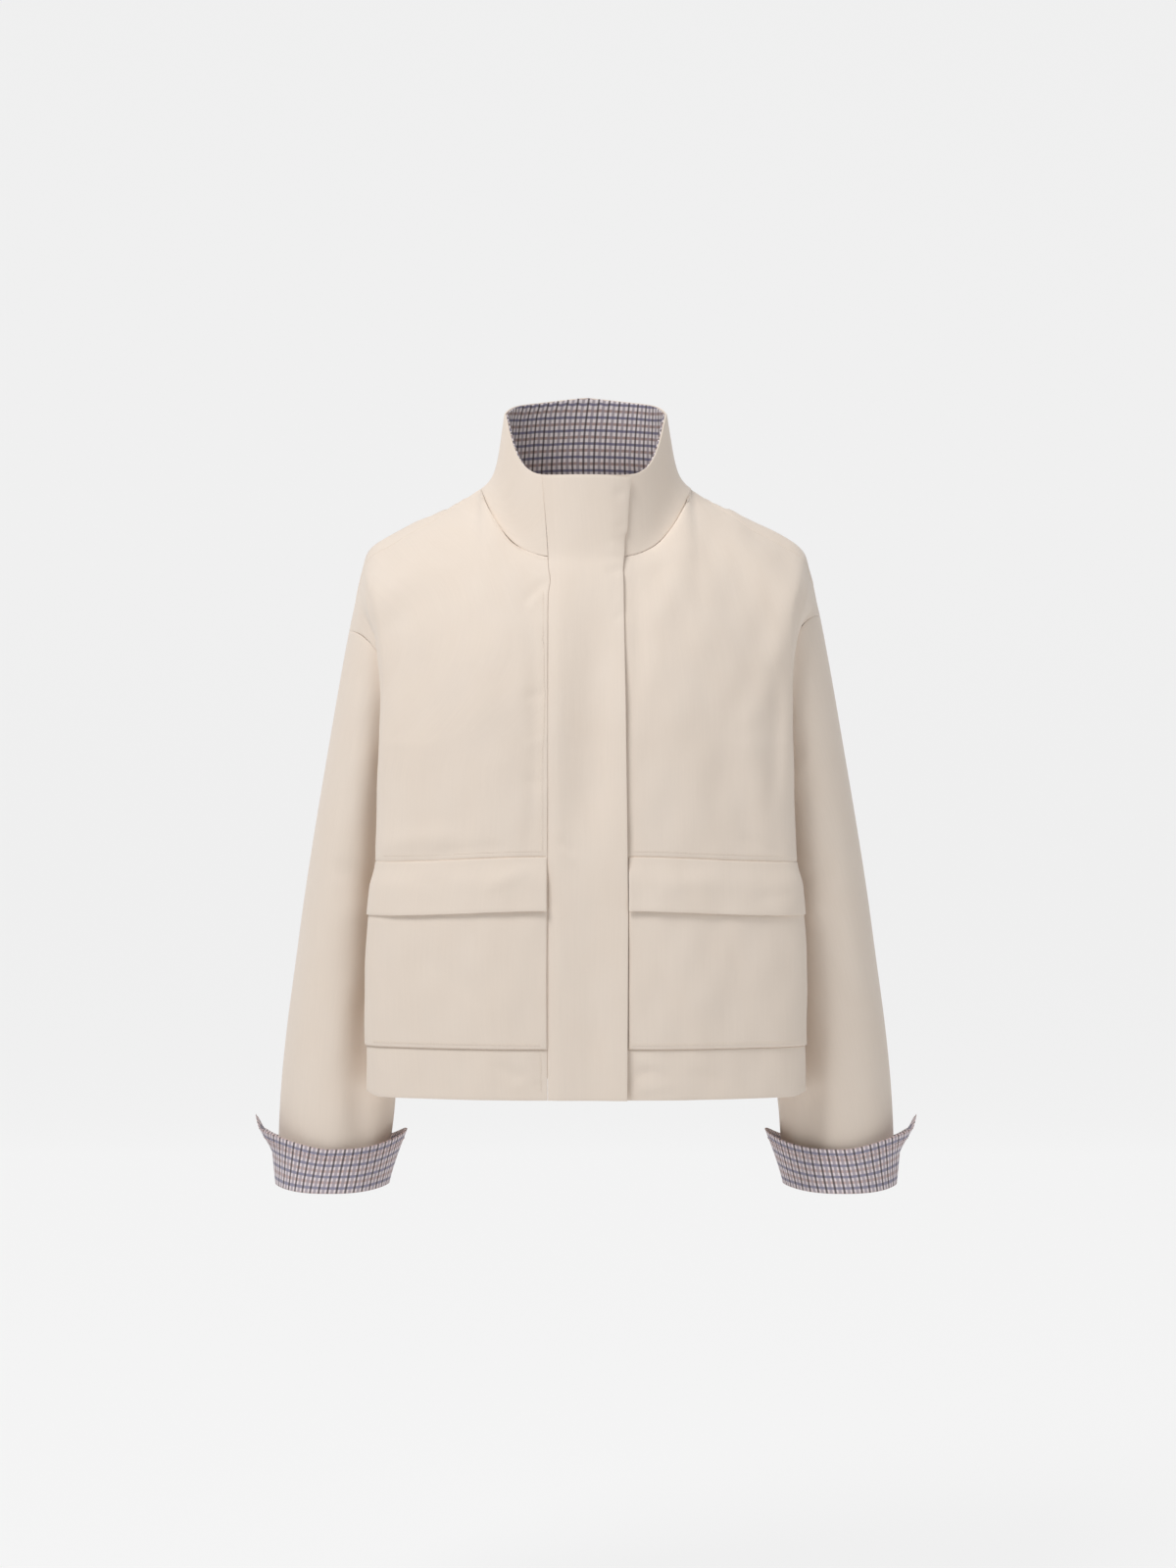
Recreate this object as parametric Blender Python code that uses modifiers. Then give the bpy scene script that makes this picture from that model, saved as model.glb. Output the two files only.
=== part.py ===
"""A cropped, boxy jacket with a funnel collar, worn and hollow, as its cut and sewn pieces.

Sizes are in millimetres and are turned to metres when a piece becomes a mesh.  +Z is up, the front
faces -Y, and +X is the wearer's left.  The origin lies midway between the two points where the
shoulder seams meet the neck.

Every piece of cloth starts as a flat grid, whose points are laid on a surface that is worked out from
the section tables below, and gets its thickness from a Solidify modifier.
"""

import math

import bmesh
import bpy
import numpy as np

MM = 0.001
JACKET = "funnel_neck_jacket"

# Cloth
CLOTH = 1.5
DOUBLED_CLOTH = 2.0
LINING_CLOTH = 1.2
SEAM_GAP = 0.4
LAY_GAP = 0.5

# Heights
HEM_Z = -563.0
BAND_TOP_Z = -517.0
FLAP_BOTTOM_Z = -392.0
POCKET_TOP_Z = -354.0
FLAP_TOP_Z = -343.0
UNDERARM_Z = -240.0
NECK_FRONT_Z = -70.0
NECK_BACK_Z = 14.0

# Neck
NECK_HALF_WIDTH = 99.0
NECK_FRONT_Y = -85.0
NECK_BACK_Y = 62.0
COLLAR_TOP_HALF_WIDTH = 76.0
COLLAR_TOP_CENTRE_Y = -13.0
COLLAR_TOP_HALF_DEPTH = 62.0
COLLAR_TOP_FRONT_Z = 6.0
COLLAR_TOP_SIDE_Z = 69.0
COLLAR_TOP_BACK_Z = 91.0

# How late the neck seam and the collar's top leave their centre height on the way to the side: 1 is a
# straight slope and more is later.  At the back the top edge falls gently first and then steeply
NECK_FRONT_LATE = 3.9
NECK_BACK_LATE = 2.5
COLLAR_FRONT_LATE = 6.5
COLLAR_BACK_GENTLE = 0.55
COLLAR_BACK_GENTLE_LATE = 1.3
COLLAR_BACK_STEEP_LATE = 14.0

# The collar spreads at its base: how much of the spread is in the lowest part, how high that part is as
# a share of the collar, and how much the centre back takes part
COLLAR_FLARE = 0.55
COLLAR_FLARE_HEIGHT = 0.12
COLLAR_FLARE_BACK = 0.5
LINING_TOP_INSET = 1.5
LINING_END_INSET = 2.0

# Front closing
PLACKET_LEFT = -36.5
PLACKET_RIGHT = 37.5
PLACKET_FLARE = 3.0
PLACKET_OVER_SEAM = 1.0
OVER_SEAM_ROWS = 1.2
LEFT_EDGE_X = -35.0
UNDERLAP_EDGE_X = -32.0

# Pockets and flaps: their distance from the placket and the side seam, how far a flap's lower edge
# stands off the pocket, and how much its seam is drawn in
POCKET_MARGIN = 1.0
FLAP_EDGE_LIFT = 1.0
FLAP_SEAM_SINK = 0.4

# The columns that every body section is measured at, as shares of the way from the centre line to
# the side seam: the breast or blade, the fold beside the arm, the crease behind that fold, and the
# hollow where the sleeve nests, which follows the sleeve round at these turns
BREAST = 0.37
FOLD = 0.72
CREASE = 0.86
NEST = (
    # share, turn round the sleeve in degrees
    (0.86, 135.0),
    (0.907, 150.0),
    (0.953, 165.0),
    (1.0, 180.0),
)

# Body sections, hem to underarm: height, depth at the centre and breast, and the fold's place
FRONT_SECTIONS = (
    # z, centre_y, breast_y, fold_x, fold_y
    (-563.0, -121.0, -114.0, 202.0, -64.0),
    (-460.0, -121.0, -114.0, 201.0, -64.0),
    (-400.0, -120.0, -113.0, 198.5, -64.0),
    (-343.0, -119.0, -112.0, 193.5, -63.0),
    (-240.0, -117.0, -110.0, 190.0, -62.0),
)
BACK_SECTIONS = (
    (-563.0, 110.0, 106.0, 190.0, 74.0),
    (-460.0, 110.0, 106.0, 189.0, 75.0),
    (-400.0, 110.0, 106.0, 188.0, 76.0),
    (-343.0, 109.0, 105.0, 186.0, 77.0),
    (-240.0, 107.0, 103.0, 184.0, 78.0),
)
BREAST_X = 108.0

# The fold and the crease above the underarm: rise is the share of the way from the underarm to the
# shoulder line, where both end
FRONT_CAP = (
    # rise, fold_x, fold_y, fold_z, crease_x, crease_y, crease_z
    (0.30, 190.0, -62.0, -190.0, 175.0, -48.0, -197.0),
    (0.55, 192.5, -61.0, -145.0, 191.5, -48.0, -149.0),
    (0.80, 199.0, -49.0, -95.0, 209.5, -32.0, -113.0),
)
BACK_CAP = (
    (0.30, 186.0, 78.0, -190.0, 178.0, 69.0, -197.0),
    (0.55, 191.0, 74.0, -145.0, 193.0, 69.0, -149.0),
    (0.80, 198.0, 56.0, -95.0, 208.0, 48.0, -113.0),
)

# The shoulder line, neck to armhole, seen from the front: share of the way to the side seam, x, z
SHOULDER_LINE = (
    # share, x, z
    (0.37, 99.0, 0.0),
    (0.42, 113.0, -9.0),
    (0.50, 135.0, -19.5),
    (0.58, 156.0, -28.7),
    (0.66, 179.0, -39.5),
    (0.71, 194.0, -48.0),
    (0.75, 203.0, -57.5),
    (0.80, 208.5, -72.0),
    (0.86, 213.5, -91.0),
    (1.00, 222.0, -130.0),
)
SHOULDER_Y = -4.0
ARMHOLE_TOP_Y = 6.0

# How near to level the cloth ends at the neck: 1 is level, and less leaves it sloping up to the seam
CENTRE_REACH = {"front": 0.77, "back": 0.93}
BREAST_REACH = 1.0

# How full those columns are: 2 is an ellipse and more is squarer
CENTRE_FULLNESS = 2.0
BREAST_FULLNESS = 2.2
ROW_PACE = 1.3

# Shares of the rise from the underarm over which the nest beside the sleeve and the gap at the armhole
# fade out, and how late the true shoulder line takes over
NEST_FADE = 0.4
ARMHOLE_GAP_FADE = 0.5
SHOULDER_LINE_LATE = 4

# The shoulder seam lies in front of the ridge, most of all beside the neck: along is a share of the
# way from the neck to the armhole
SHOULDER_SEAM_FORWARD = 0.06
SEAM_FORWARD_FROM = 0.3
SEAM_RETURN_FROM = 0.45
SEAM_RETURN = 0.8

# Sleeve sections, armhole to hand: height, centre, half width and half depth
SLEEVE_SECTIONS = (
    # z, centre_x, centre_y, half_width, half_depth
    (-110.0, 179.0, 6.0, 39.0, 49.0),
    (-130.0, 182.0, 6.0, 40.0, 51.0),
    (-240.0, 197.0, 12.0, 45.0, 56.0),
    (-400.0, 217.5, 17.0, 50.5, 55.0),
    (-585.0, 234.7, 9.0, 53.7, 48.0),
    (-655.0, 238.5, 3.0, 51.0, 45.0),
)
SLEEVE_END_Z = -654.0
SLEEVE_END_RISE = 5.0
ARMHOLE_TOP_Z = {"right": -134.0, "left": -119.0}
ARMHOLE_BEND = 1.8
ARM_CLEARANCE = 6.0
ARM_CLEARANCE_RUN = 35.0
NEST_EASE = 2.5

# Cuff: the free edge rises to a point on the outer side, beside the vent, and on the inner side
CUFF_FOLD_Z = -656.5
CUFF_EDGE_Z = -615.0
CUFF_TOP_CENTRE_X = 238.5
CUFF_TOP_CENTRE_Y = 6.0
CUFF_TOP_HALF_WIDTH = 70.5
CUFF_TOP_HALF_DEPTH = 55.0
CUFF_VENT = math.radians(2.0)
CUFF_SPREAD = 1.4
CUFF_SIDES = {
    # side: how far the point rises, how sharply, and how late the wall spreads on its way up
    "outer": {"rise": 17.0, "sharpness": 1.4, "spread": 2.6},
    "inner": {"rise": 14.0, "sharpness": 3.5, "spread": 1.2},
}

# Colours, linear
CREAM = (0.80, 0.70, 0.60, 1.0)
CHECK = (0.62, 0.52, 0.50, 1.0)
COTTON_ROUGHNESS = 0.85

# How finely the pieces are divided, and how near two points must be to be one, in millimetres
ARMHOLE_STEPS = 12
NECK_COLUMNS = 6
SLEEVE_ROWS = 15
COLLAR_ROWS = 7
COLLAR_ROW_PACE = 1.3
PLACKET_COLUMNS = 6
PLACKET_COLLAR_ROWS = 5
CUFF_COLUMNS = 33
CUFF_ROWS = 6
TRIAL_COLUMNS = 61
WELD = 0.02


# --- curves through the tables -------------------------------------------------------------------


def spline_weights(knots, at):
    """Weights of a smooth curve through values at the knots: one weight for each knot."""
    knots = np.asarray(knots, float)
    at = np.asarray(at, float)
    count = len(knots)
    steps = np.diff(knots)
    slopes = np.zeros((count - 1, count))
    for i in range(count - 1):
        slopes[i, i] = -1.0 / steps[i]
        slopes[i, i + 1] = 1.0 / steps[i]
    tangents = np.zeros((count, count))
    tangents[0] = slopes[0]
    tangents[-1] = slopes[-1]
    for i in range(1, count - 1):
        share = steps[i - 1] / (steps[i - 1] + steps[i])
        tangents[i] = (1.0 - share) * slopes[i - 1] + share * slopes[i]
    span = np.clip(np.searchsorted(knots, at, side="right") - 1, 0, count - 2)
    width = steps[span]
    s = (at - knots[span]) / width
    values = np.eye(count)
    start = (2.0 * s**3 - 3.0 * s**2 + 1.0)[..., None] * values[span]
    end = (3.0 * s**2 - 2.0 * s**3)[..., None] * values[span + 1]
    leave = ((s**3 - 2.0 * s**2 + s) * width)[..., None] * tangents[span]
    arrive = ((s**3 - s**2) * width)[..., None] * tangents[span + 1]
    return start + end + leave + arrive


def through(table, at):
    """The columns after the first, read smoothly at places along the first column."""
    rows = sorted(table)
    knots = [row[0] for row in rows]
    values = np.array([row[1:] for row in rows], float)
    return spline_weights(knots, at) @ values


def ease(value):
    """From 0 to 1, starting and ending gently."""
    s = np.clip(value, 0.0, 1.0)
    return s * s * (3.0 - 2.0 * s)


def points(x, y, z):
    """Coordinates that may be plain numbers or arrays, as one array of points."""
    return np.stack(np.broadcast_arrays(x, y, z), axis=-1).astype(float)


# --- sleeve and armhole --------------------------------------------------------------------------


def sleeve_surface(turn, z):
    """A point on the sleeve: turn 0 is outermost, a quarter turn is in front, half is at the body."""
    section = through(SLEEVE_SECTIONS, z)
    centre_x, centre_y, half_width, half_depth = np.moveaxis(section, -1, 0)
    x = centre_x + half_width * np.cos(turn)
    y = centre_y - half_depth * np.sin(turn)
    return points(x, y, z)


def sleeve_end_z(turn):
    """The sleeve's lower end, a little higher at its two sides."""
    return SLEEVE_END_Z + SLEEVE_END_RISE * np.abs(np.cos(turn)) ** 3


def armhole_z(turn, side):
    top = ARMHOLE_TOP_Z[side]
    share = (0.5 - 0.5 * np.cos(turn)) ** ARMHOLE_BEND
    return top + (UNDERARM_Z - top) * share


def armhole(turn, side):
    return sleeve_surface(turn, armhole_z(turn, side))


# --- neck and collar -----------------------------------------------------------------------------


def neck_seam(angle):
    """The neck seam: angle 0 is the centre front, a quarter turn the shoulder, half the centre back."""
    across = np.abs(np.sin(angle))
    front = np.cos(angle) > 0.0
    y = np.where(front, -NECK_FRONT_Y, NECK_BACK_Y) * -np.cos(angle)
    front_z = NECK_FRONT_Z * (1.0 - across**NECK_FRONT_LATE)
    back_z = NECK_BACK_Z * (1.0 - across**NECK_BACK_LATE)
    return points(NECK_HALF_WIDTH * np.sin(angle), y, np.where(front, front_z, back_z))


def collar_top(angle):
    across = np.abs(np.sin(angle))
    front = np.cos(angle) > 0.0
    climb = across**COLLAR_FRONT_LATE
    front_z = COLLAR_TOP_FRONT_Z + (COLLAR_TOP_SIDE_Z - COLLAR_TOP_FRONT_Z) * climb
    steep = (1.0 - COLLAR_BACK_GENTLE) * across**COLLAR_BACK_STEEP_LATE
    fall = COLLAR_BACK_GENTLE * across**COLLAR_BACK_GENTLE_LATE + steep
    back_z = COLLAR_TOP_BACK_Z + (COLLAR_TOP_SIDE_Z - COLLAR_TOP_BACK_Z) * fall
    x = COLLAR_TOP_HALF_WIDTH * np.sin(angle)
    y = COLLAR_TOP_CENTRE_Y - COLLAR_TOP_HALF_DEPTH * np.cos(angle)
    return points(x, y, np.where(front, front_z, back_z))


def collar_surface(angle, height):
    """Height runs from 0 at the neck seam to 1 at the top edge; the sides spread at the base."""
    bottom = neck_seam(angle)
    top = collar_top(angle)
    spread = ease(np.sin(angle) ** 2 + COLLAR_FLARE_BACK * (np.cos(angle) < 0.0))
    straight = 1.0 - height
    flared = COLLAR_FLARE * np.exp(-height / COLLAR_FLARE_HEIGHT) + (1.0 - COLLAR_FLARE) * straight
    base = straight + spread * (flared - straight)
    plan = bottom[..., :2] * base[..., None] + top[..., :2] * (1.0 - base[..., None])
    z = bottom[..., 2] * straight + top[..., 2] * height
    return points(plan[..., 0], plan[..., 1], z)


# --- body ----------------------------------------------------------------------------------------


def bulge(rise, bottom, top, fullness, reach):
    """A column from the underarm section up to the neck or shoulder, upright at its foot."""
    lift = np.sin(math.asin(reach) * rise**ROW_PACE)
    forward = 1.0 - (1.0 - np.clip(lift, 0.0, 1.0) ** fullness) ** (1.0 / fullness)
    forward_end = 1.0 - max(1.0 - reach**fullness, 0.0) ** (1.0 / fullness)
    x = bottom[0] + (top[0] - bottom[0]) * lift / reach
    y = bottom[1] + (top[1] - bottom[1]) * forward / forward_end
    z = bottom[2] + (top[2] - bottom[2]) * lift / reach
    return points(x, y, z)


def lower_guides(z, face):
    """Centre, breast, fold and nest of the body at a height below the underarm."""
    sections = FRONT_SECTIONS if face == "front" else BACK_SECTIONS
    toward = 1.0 if face == "front" else -1.0
    centre_y, breast_y, fold_x, fold_y = np.moveaxis(through(sections, z), -1, 0)
    arm_x, arm_y, arm_width, arm_depth = np.moveaxis(through(SLEEVE_SECTIONS, z), -1, 0)
    clear = LAY_GAP + ARM_CLEARANCE * ease((UNDERARM_Z - z) / ARM_CLEARANCE_RUN)
    nest = []
    for _, degrees in NEST:
        turn = math.radians(degrees)
        off = clear + NEST_EASE * ease((180.0 - degrees) / 30.0)
        beside = arm_x + (arm_width + off) * math.cos(turn)
        nest.append(points(beside, arm_y - toward * (arm_depth + off) * math.sin(turn), z))
    centre = points(0.0, centre_y, z)
    breast = points(BREAST_X, breast_y, z)
    return [centre, breast, points(fold_x, fold_y, z), *nest]


def top_line(share, face):
    """The body's upper edge: along the neck seam to the shoulder, then out along the shoulder line."""
    angle = 0.5 * math.pi * np.clip(share / BREAST, 0.0, 1.0)
    neck = neck_seam(angle if face == "front" else math.pi - angle)
    ridge = through(SHOULDER_LINE, np.clip(share, BREAST, 1.0))
    out = np.clip((share - BREAST) / (FOLD - BREAST), 0.0, 1.0)
    back_in = np.clip((share - CREASE) / (1.0 - CREASE), 0.0, 1.0)
    y = SHOULDER_Y * ease(out) + (ARMHOLE_TOP_Y - SHOULDER_Y) * ease(back_in)
    line = points(ridge[..., 0], y, ridge[..., 1])
    return np.where((share < BREAST)[..., None], neck, line)


def upper_guides(rise, face, side):
    """The same columns above the underarm, up to the neck and the shoulder line."""
    foot = lower_guides(np.array(UNDERARM_Z), face)
    ends = [top_line(np.array(share), face) for share in (0.0, BREAST, FOLD, CREASE)]
    toward = 1.0 if face == "front" else -1.0
    centre = bulge(rise, foot[0], ends[0], CENTRE_FULLNESS, CENTRE_REACH[face])
    breast = bulge(rise, foot[1], ends[1], BREAST_FULLNESS, BREAST_REACH)
    cap = FRONT_CAP if face == "front" else BACK_CAP
    low = (0.0, *foot[2], *foot[3])
    high = (1.0, *ends[2], *ends[3])
    columns = through((low, *cap, high), rise)
    seam = armhole(toward * math.pi * (1.0 - rise), side)
    keep_off = LAY_GAP * np.stack([-np.ones_like(rise), 0.0 * rise, 0.0 * rise], axis=-1)
    seam = seam + keep_off * (1.0 - ease(rise / ARMHOLE_GAP_FADE))[..., None]
    crease = columns[..., 3:]
    hollow = (1.0 - ease(rise / NEST_FADE))[..., None]
    nest = [crease]
    for (share, _), start in zip(NEST[1:-1], foot[4:-1]):
        across = (share - CREASE) / (1.0 - CREASE)
        straight = foot[3] * (1.0 - across) + foot[-1] * across
        nest.append(crease * (1.0 - across) + seam * across + (start - straight) * hollow)
    return [centre, breast, columns[..., :3], *nest, seam]


def body_surface(share, level, face, side):
    """A point on the body.

    Share is 0 at the centre line and 1 at the side seam or armhole, and below 0 it crosses to the
    other half.  Level is 0 at the hem, 1 at the underarm and 2 at the neck and shoulder line.
    """
    share, level = np.broadcast_arrays(np.asarray(share, float), np.asarray(level, float))
    other_half = share < 0.0
    share = np.abs(share)
    z = HEM_Z + (UNDERARM_Z - HEM_Z) * np.clip(level, 0.0, 1.0)
    rise = np.clip(level - 1.0, 0.0, 1.0)
    lower = lower_guides(z, face)
    upper = upper_guides(rise, face, side)
    high = (level > 1.0)[..., None]
    columns = [np.where(high, up, low) for low, up in zip(lower, upper)]
    mirrored = columns[1] * np.array([-1.0, 1.0, 1.0])
    guides = np.stack([mirrored, *columns], axis=-2)
    knots = (-BREAST, 0.0, BREAST, FOLD, *(share for share, _ in NEST))
    form = (spline_weights(knots, share)[..., None] * guides).sum(axis=-2)
    tops = [top_line(np.array(knot), face) for knot in knots[1:-1]]
    tops.append(armhole(np.array(0.0), side))
    top_guides = np.stack([tops[1] * np.array([-1.0, 1.0, 1.0]), *tops], axis=0)
    plain_top = spline_weights(knots, share) @ top_guides
    shape = top_line(share, face)
    shape = shape + (armhole(np.array(0.0), side) - top_line(np.array(1.0), face)) * (
        ease((share - FOLD) / (1.0 - FOLD))[..., None]
    )
    form = form + (shape - plain_top) * (rise**SHOULDER_LINE_LATE)[..., None]
    form[..., 0] = np.where(other_half, -form[..., 0], form[..., 0])
    return form


def share_at_x(x, level, face, side):
    """Where a column must stand, at each level, to lie a given distance from the centre line."""
    trial = np.linspace(-BREAST, BREAST, TRIAL_COLUMNS)
    shares = []
    for target, height in zip(np.broadcast_to(x, np.shape(level)), level):
        row = body_surface(trial, np.full_like(trial, height), face, side)
        shares.append(np.interp(target, row[:, 0], trial))
    return np.array(shares)


def level_of(z):
    """The level of a height below the underarm."""
    return (z - HEM_Z) / (UNDERARM_Z - HEM_Z)


# --- cloth ---------------------------------------------------------------------------------------


def normals(grid):
    """The outward direction at each point of a grid whose columns run to the right seen from outside."""
    along = np.gradient(grid, axis=1)
    up = np.gradient(grid, axis=0)
    facing = np.cross(along, up)
    return facing / np.linalg.norm(facing, axis=-1, keepdims=True)


def moved_out(grid, distance):
    return grid + normals(grid) * distance


def trim(grid, bottom=0.0, top=0.0, start=0.0, end=0.0):
    """Draws the edges of a grid back from the seams, each by its own distance."""
    grid = grid.copy()
    edges = (
        (grid[0], grid[1].copy(), bottom),
        (grid[-1], grid[-2].copy(), top),
        (grid[:, 0], grid[:, 1].copy(), start),
        (grid[:, -1], grid[:, -2].copy(), end),
    )
    for edge, inside, distance in edges:
        if distance:
            inward = inside - edge
            edge += inward * distance / np.linalg.norm(inward, axis=-1, keepdims=True)
    return grid


def material(name, colour, roughness):
    made = bpy.data.materials.new(name)
    made.use_nodes = True
    shader = made.node_tree.nodes["Principled BSDF"]
    shader.inputs["Base Color"].default_value = colour
    shader.inputs["Roughness"].default_value = roughness
    shader.inputs["Metallic"].default_value = 0.0
    return made


def cloth(name, grid, thickness, colour, collection):
    """A wall of cloth whose outer face is the grid of points, with its thickness inside."""
    rows, columns = grid.shape[:2]
    mesh = bpy.data.meshes.new(name)
    shape = bmesh.new()
    bmesh.ops.create_grid(shape, x_segments=columns - 1, y_segments=rows - 1, size=1.0)
    shape.verts.ensure_lookup_table()
    for vertex, place in zip(shape.verts, grid.reshape(-1, 3)):
        vertex.co = place * MM
    bmesh.ops.remove_doubles(shape, verts=shape.verts[:], dist=WELD * MM)
    shape.to_mesh(mesh)
    shape.free()
    piece = bpy.data.objects.new(name, mesh)
    collection.objects.link(piece)
    wall = piece.modifiers.new("wall", "SOLIDIFY")
    wall.thickness = thickness * MM
    wall.offset = -1.0
    mesh.materials.append(material(name, colour, COTTON_ROUGHNESS))
    return piece


def mirrored(grid, side):
    """The same piece on the wearer's right: the points change side and keep facing out."""
    if side == "left":
        return grid
    return grid[:, ::-1] * np.array([-1.0, 1.0, 1.0])


# --- the pieces ----------------------------------------------------------------------------------

UNDER_LEVELS = (BAND_TOP_Z, -455.0, FLAP_BOTTOM_Z, POCKET_TOP_Z, FLAP_TOP_Z, -290.0, UNDERARM_Z)
SEAM_ROW = 0.975
RISES = np.array([*(np.arange(1, ARMHOLE_STEPS) / ARMHOLE_STEPS), SEAM_ROW, 1.0])
BODY_LEVELS = np.concatenate([[level_of(z) for z in UNDER_LEVELS], 1.0 + RISES])
SIDE_COLUMNS = np.array([0.46, 0.55, 0.64, 0.72, 0.79, *(share for share, _ in NEST)])


def front_share(edge_x, level, side):
    """Columns from an edge near the centre line to the side seam: the first keep off that line."""
    edge = share_at_x(edge_x, level, "front", side)
    steps = np.linspace(0.0, 1.0, NECK_COLUMNS + 1)
    neck = edge[:, None] + (BREAST - edge[:, None]) * steps[None, :]
    beside = np.broadcast_to(SIDE_COLUMNS, (len(level), len(SIDE_COLUMNS)))
    return np.concatenate([neck, beside], axis=1)


def back_share():
    return np.concatenate([np.linspace(0.0, BREAST, NECK_COLUMNS), SIDE_COLUMNS])


def seam_forward(share):
    """How far the shoulder seam lies in front of the shoulder's ridge, as a share of the rise."""
    along = np.clip((share - BREAST) / (1.0 - BREAST), 0.0, 1.0)
    returned = SEAM_RETURN * ease((along - SEAM_RETURN_FROM) / (1.0 - SEAM_RETURN_FROM))
    return SHOULDER_SEAM_FORWARD * ease(along / SEAM_FORWARD_FROM) * (1.0 - returned)


def front_grid(edge_x, side, levels):
    share = front_share(edge_x, levels, side)
    level = np.broadcast_to(levels[:, None], share.shape)
    rise = np.clip(level - 1.0, 0.0, 1.0) * (1.0 - seam_forward(share))
    level = np.where(level > 1.0, 1.0 + rise, level)
    return body_surface(share, level, "front", side)


def back_grid(side, levels):
    """Half the back: over the shoulder's ridge it runs on down the front to the shoulder seam."""
    columns = back_share()
    share = np.broadcast_to(columns[None, :], (len(levels), len(columns)))
    level = np.broadcast_to(levels[:, None], share.shape)
    rise = np.clip(level - 1.0, 0.0, 1.0) * (1.0 + seam_forward(share))
    over = rise > 1.0
    back = body_surface(share, np.where(level > 1.0, 1.0 + np.minimum(rise, 1.0), level), "back", side)
    front = body_surface(share, 3.0 - np.maximum(rise, 1.0), "front", side)
    return np.where(over[..., None], front, back)


def whole_back(levels):
    left = back_grid("left", levels)
    right = back_grid("right", levels) * np.array([-1.0, 1.0, 1.0])
    return np.concatenate([left[:, ::-1], right[:, 1:]], axis=1)


def make_fronts(collection):
    for side, edge_x in (("left", UNDERLAP_EDGE_X), ("right", -LEFT_EDGE_X)):
        grid = front_grid(edge_x, side, BODY_LEVELS)
        grid = trim(grid, bottom=SEAM_GAP / 2, top=SEAM_GAP / 2, end=SEAM_GAP / 2)
        cloth(f"front_{side}", mirrored(grid, side), CLOTH, CREAM, collection)


def make_back(collection):
    grid = whole_back(BODY_LEVELS)
    gap = SEAM_GAP / 2
    grid = trim(grid, bottom=gap, top=SEAM_GAP, start=gap, end=gap)
    cloth("back", grid, CLOTH, CREAM, collection)


def make_bands(collection):
    levels = np.array([0.0, level_of(BAND_TOP_Z)])
    gap = SEAM_GAP / 2
    for side, edge_x in (("left", UNDERLAP_EDGE_X), ("right", -LEFT_EDGE_X)):
        grid = front_grid(edge_x, side, levels)
        grid = trim(grid, top=gap, end=gap)
        cloth(f"hem_band_front_{side}", mirrored(grid, side), DOUBLED_CLOTH, CREAM, collection)
    grid = trim(whole_back(levels), top=gap, start=gap, end=gap)
    cloth("hem_band_back", grid, DOUBLED_CLOTH, CREAM, collection)


def make_sleeves(collection):
    turns = np.linspace(0.0, 2.0 * math.pi, 2 * ARMHOLE_STEPS + 1)
    rows = np.linspace(0.0, 1.0, SLEEVE_ROWS)
    for side in ("left", "right"):
        end = sleeve_end_z(turns)[None, :]
        z = end + (armhole_z(turns, side) - end) * rows[:, None]
        grid = sleeve_surface(np.broadcast_to(turns[None, :], z.shape), z)
        grid = trim(grid[:, ::-1], top=SEAM_GAP)
        cloth(f"sleeve_{side}", mirrored(grid, side), CLOTH, CREAM, collection)


def collar_angles():
    """The collar's columns start from the columns of the fronts and the back, so the seam fits."""
    top = np.array([2.0])
    quarter = 0.5 * math.pi / BREAST
    left = front_share(UNDERLAP_EDGE_X, top, "left")[0, : NECK_COLUMNS + 1] * quarter
    right = front_share(-LEFT_EDGE_X, top, "right")[0, : NECK_COLUMNS + 1] * quarter
    back = back_share()[:NECK_COLUMNS] * quarter
    around = [left, (math.pi - back)[::-1][1:], (math.pi + back)[1:], (2.0 * math.pi - right)[::-1][1:]]
    return np.concatenate(around)


def make_collar(collection):
    angles = collar_angles()
    heights = np.linspace(0.0, 1.0, COLLAR_ROWS) ** COLLAR_ROW_PACE
    grid = collar_surface(angles[None, :], heights[:, None])
    cloth("collar", trim(grid, bottom=SEAM_GAP), CLOTH, CREAM, collection)
    inside = moved_out(grid, -(CLOTH + LAY_GAP))
    inside = trim(inside, top=LINING_TOP_INSET, start=LINING_END_INSET, end=LINING_END_INSET)
    cloth("collar_lining", inside, LINING_CLOTH, CHECK, collection)


def placket_grid():
    """The strip over the centre front, from the hem up over the neck seam to the collar's top."""
    across = np.linspace(0.0, 1.0, PLACKET_COLUMNS)
    levels = np.concatenate([[0.0], BODY_LEVELS])
    body_rows = []
    for level in levels:
        x = PLACKET_LEFT + (PLACKET_RIGHT - PLACKET_LEFT) * across
        share = share_at_x(x, np.full_like(x, level), "front", "left")
        body_rows.append(body_surface(share, np.full_like(x, level), "front", "left"))
    collar_rows = []
    for height in np.linspace(0.0, 1.0, PLACKET_COLLAR_ROWS)[1:]:
        flare = PLACKET_FLARE * height
        left = PLACKET_LEFT - flare
        x = left + (PLACKET_RIGHT + flare - left) * across
        half_width = NECK_HALF_WIDTH + (COLLAR_TOP_HALF_WIDTH - NECK_HALF_WIDTH) * height
        angle = np.arcsin(x / half_width)
        collar_rows.append(collar_surface(angle, np.full_like(x, height)))
    return np.array(body_rows + collar_rows)


def make_placket(collection):
    base = placket_grid()
    from_neck_seam = np.arange(len(base)) - len(BODY_LEVELS)
    over_seam = PLACKET_OVER_SEAM * np.exp(-((from_neck_seam / OVER_SEAM_ROWS) ** 2))
    lift = LAY_GAP + DOUBLED_CLOTH + over_seam
    grid = base + normals(base) * lift[:, None, None]
    cloth("placket", grid, DOUBLED_CLOTH, CREAM, collection)


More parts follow.
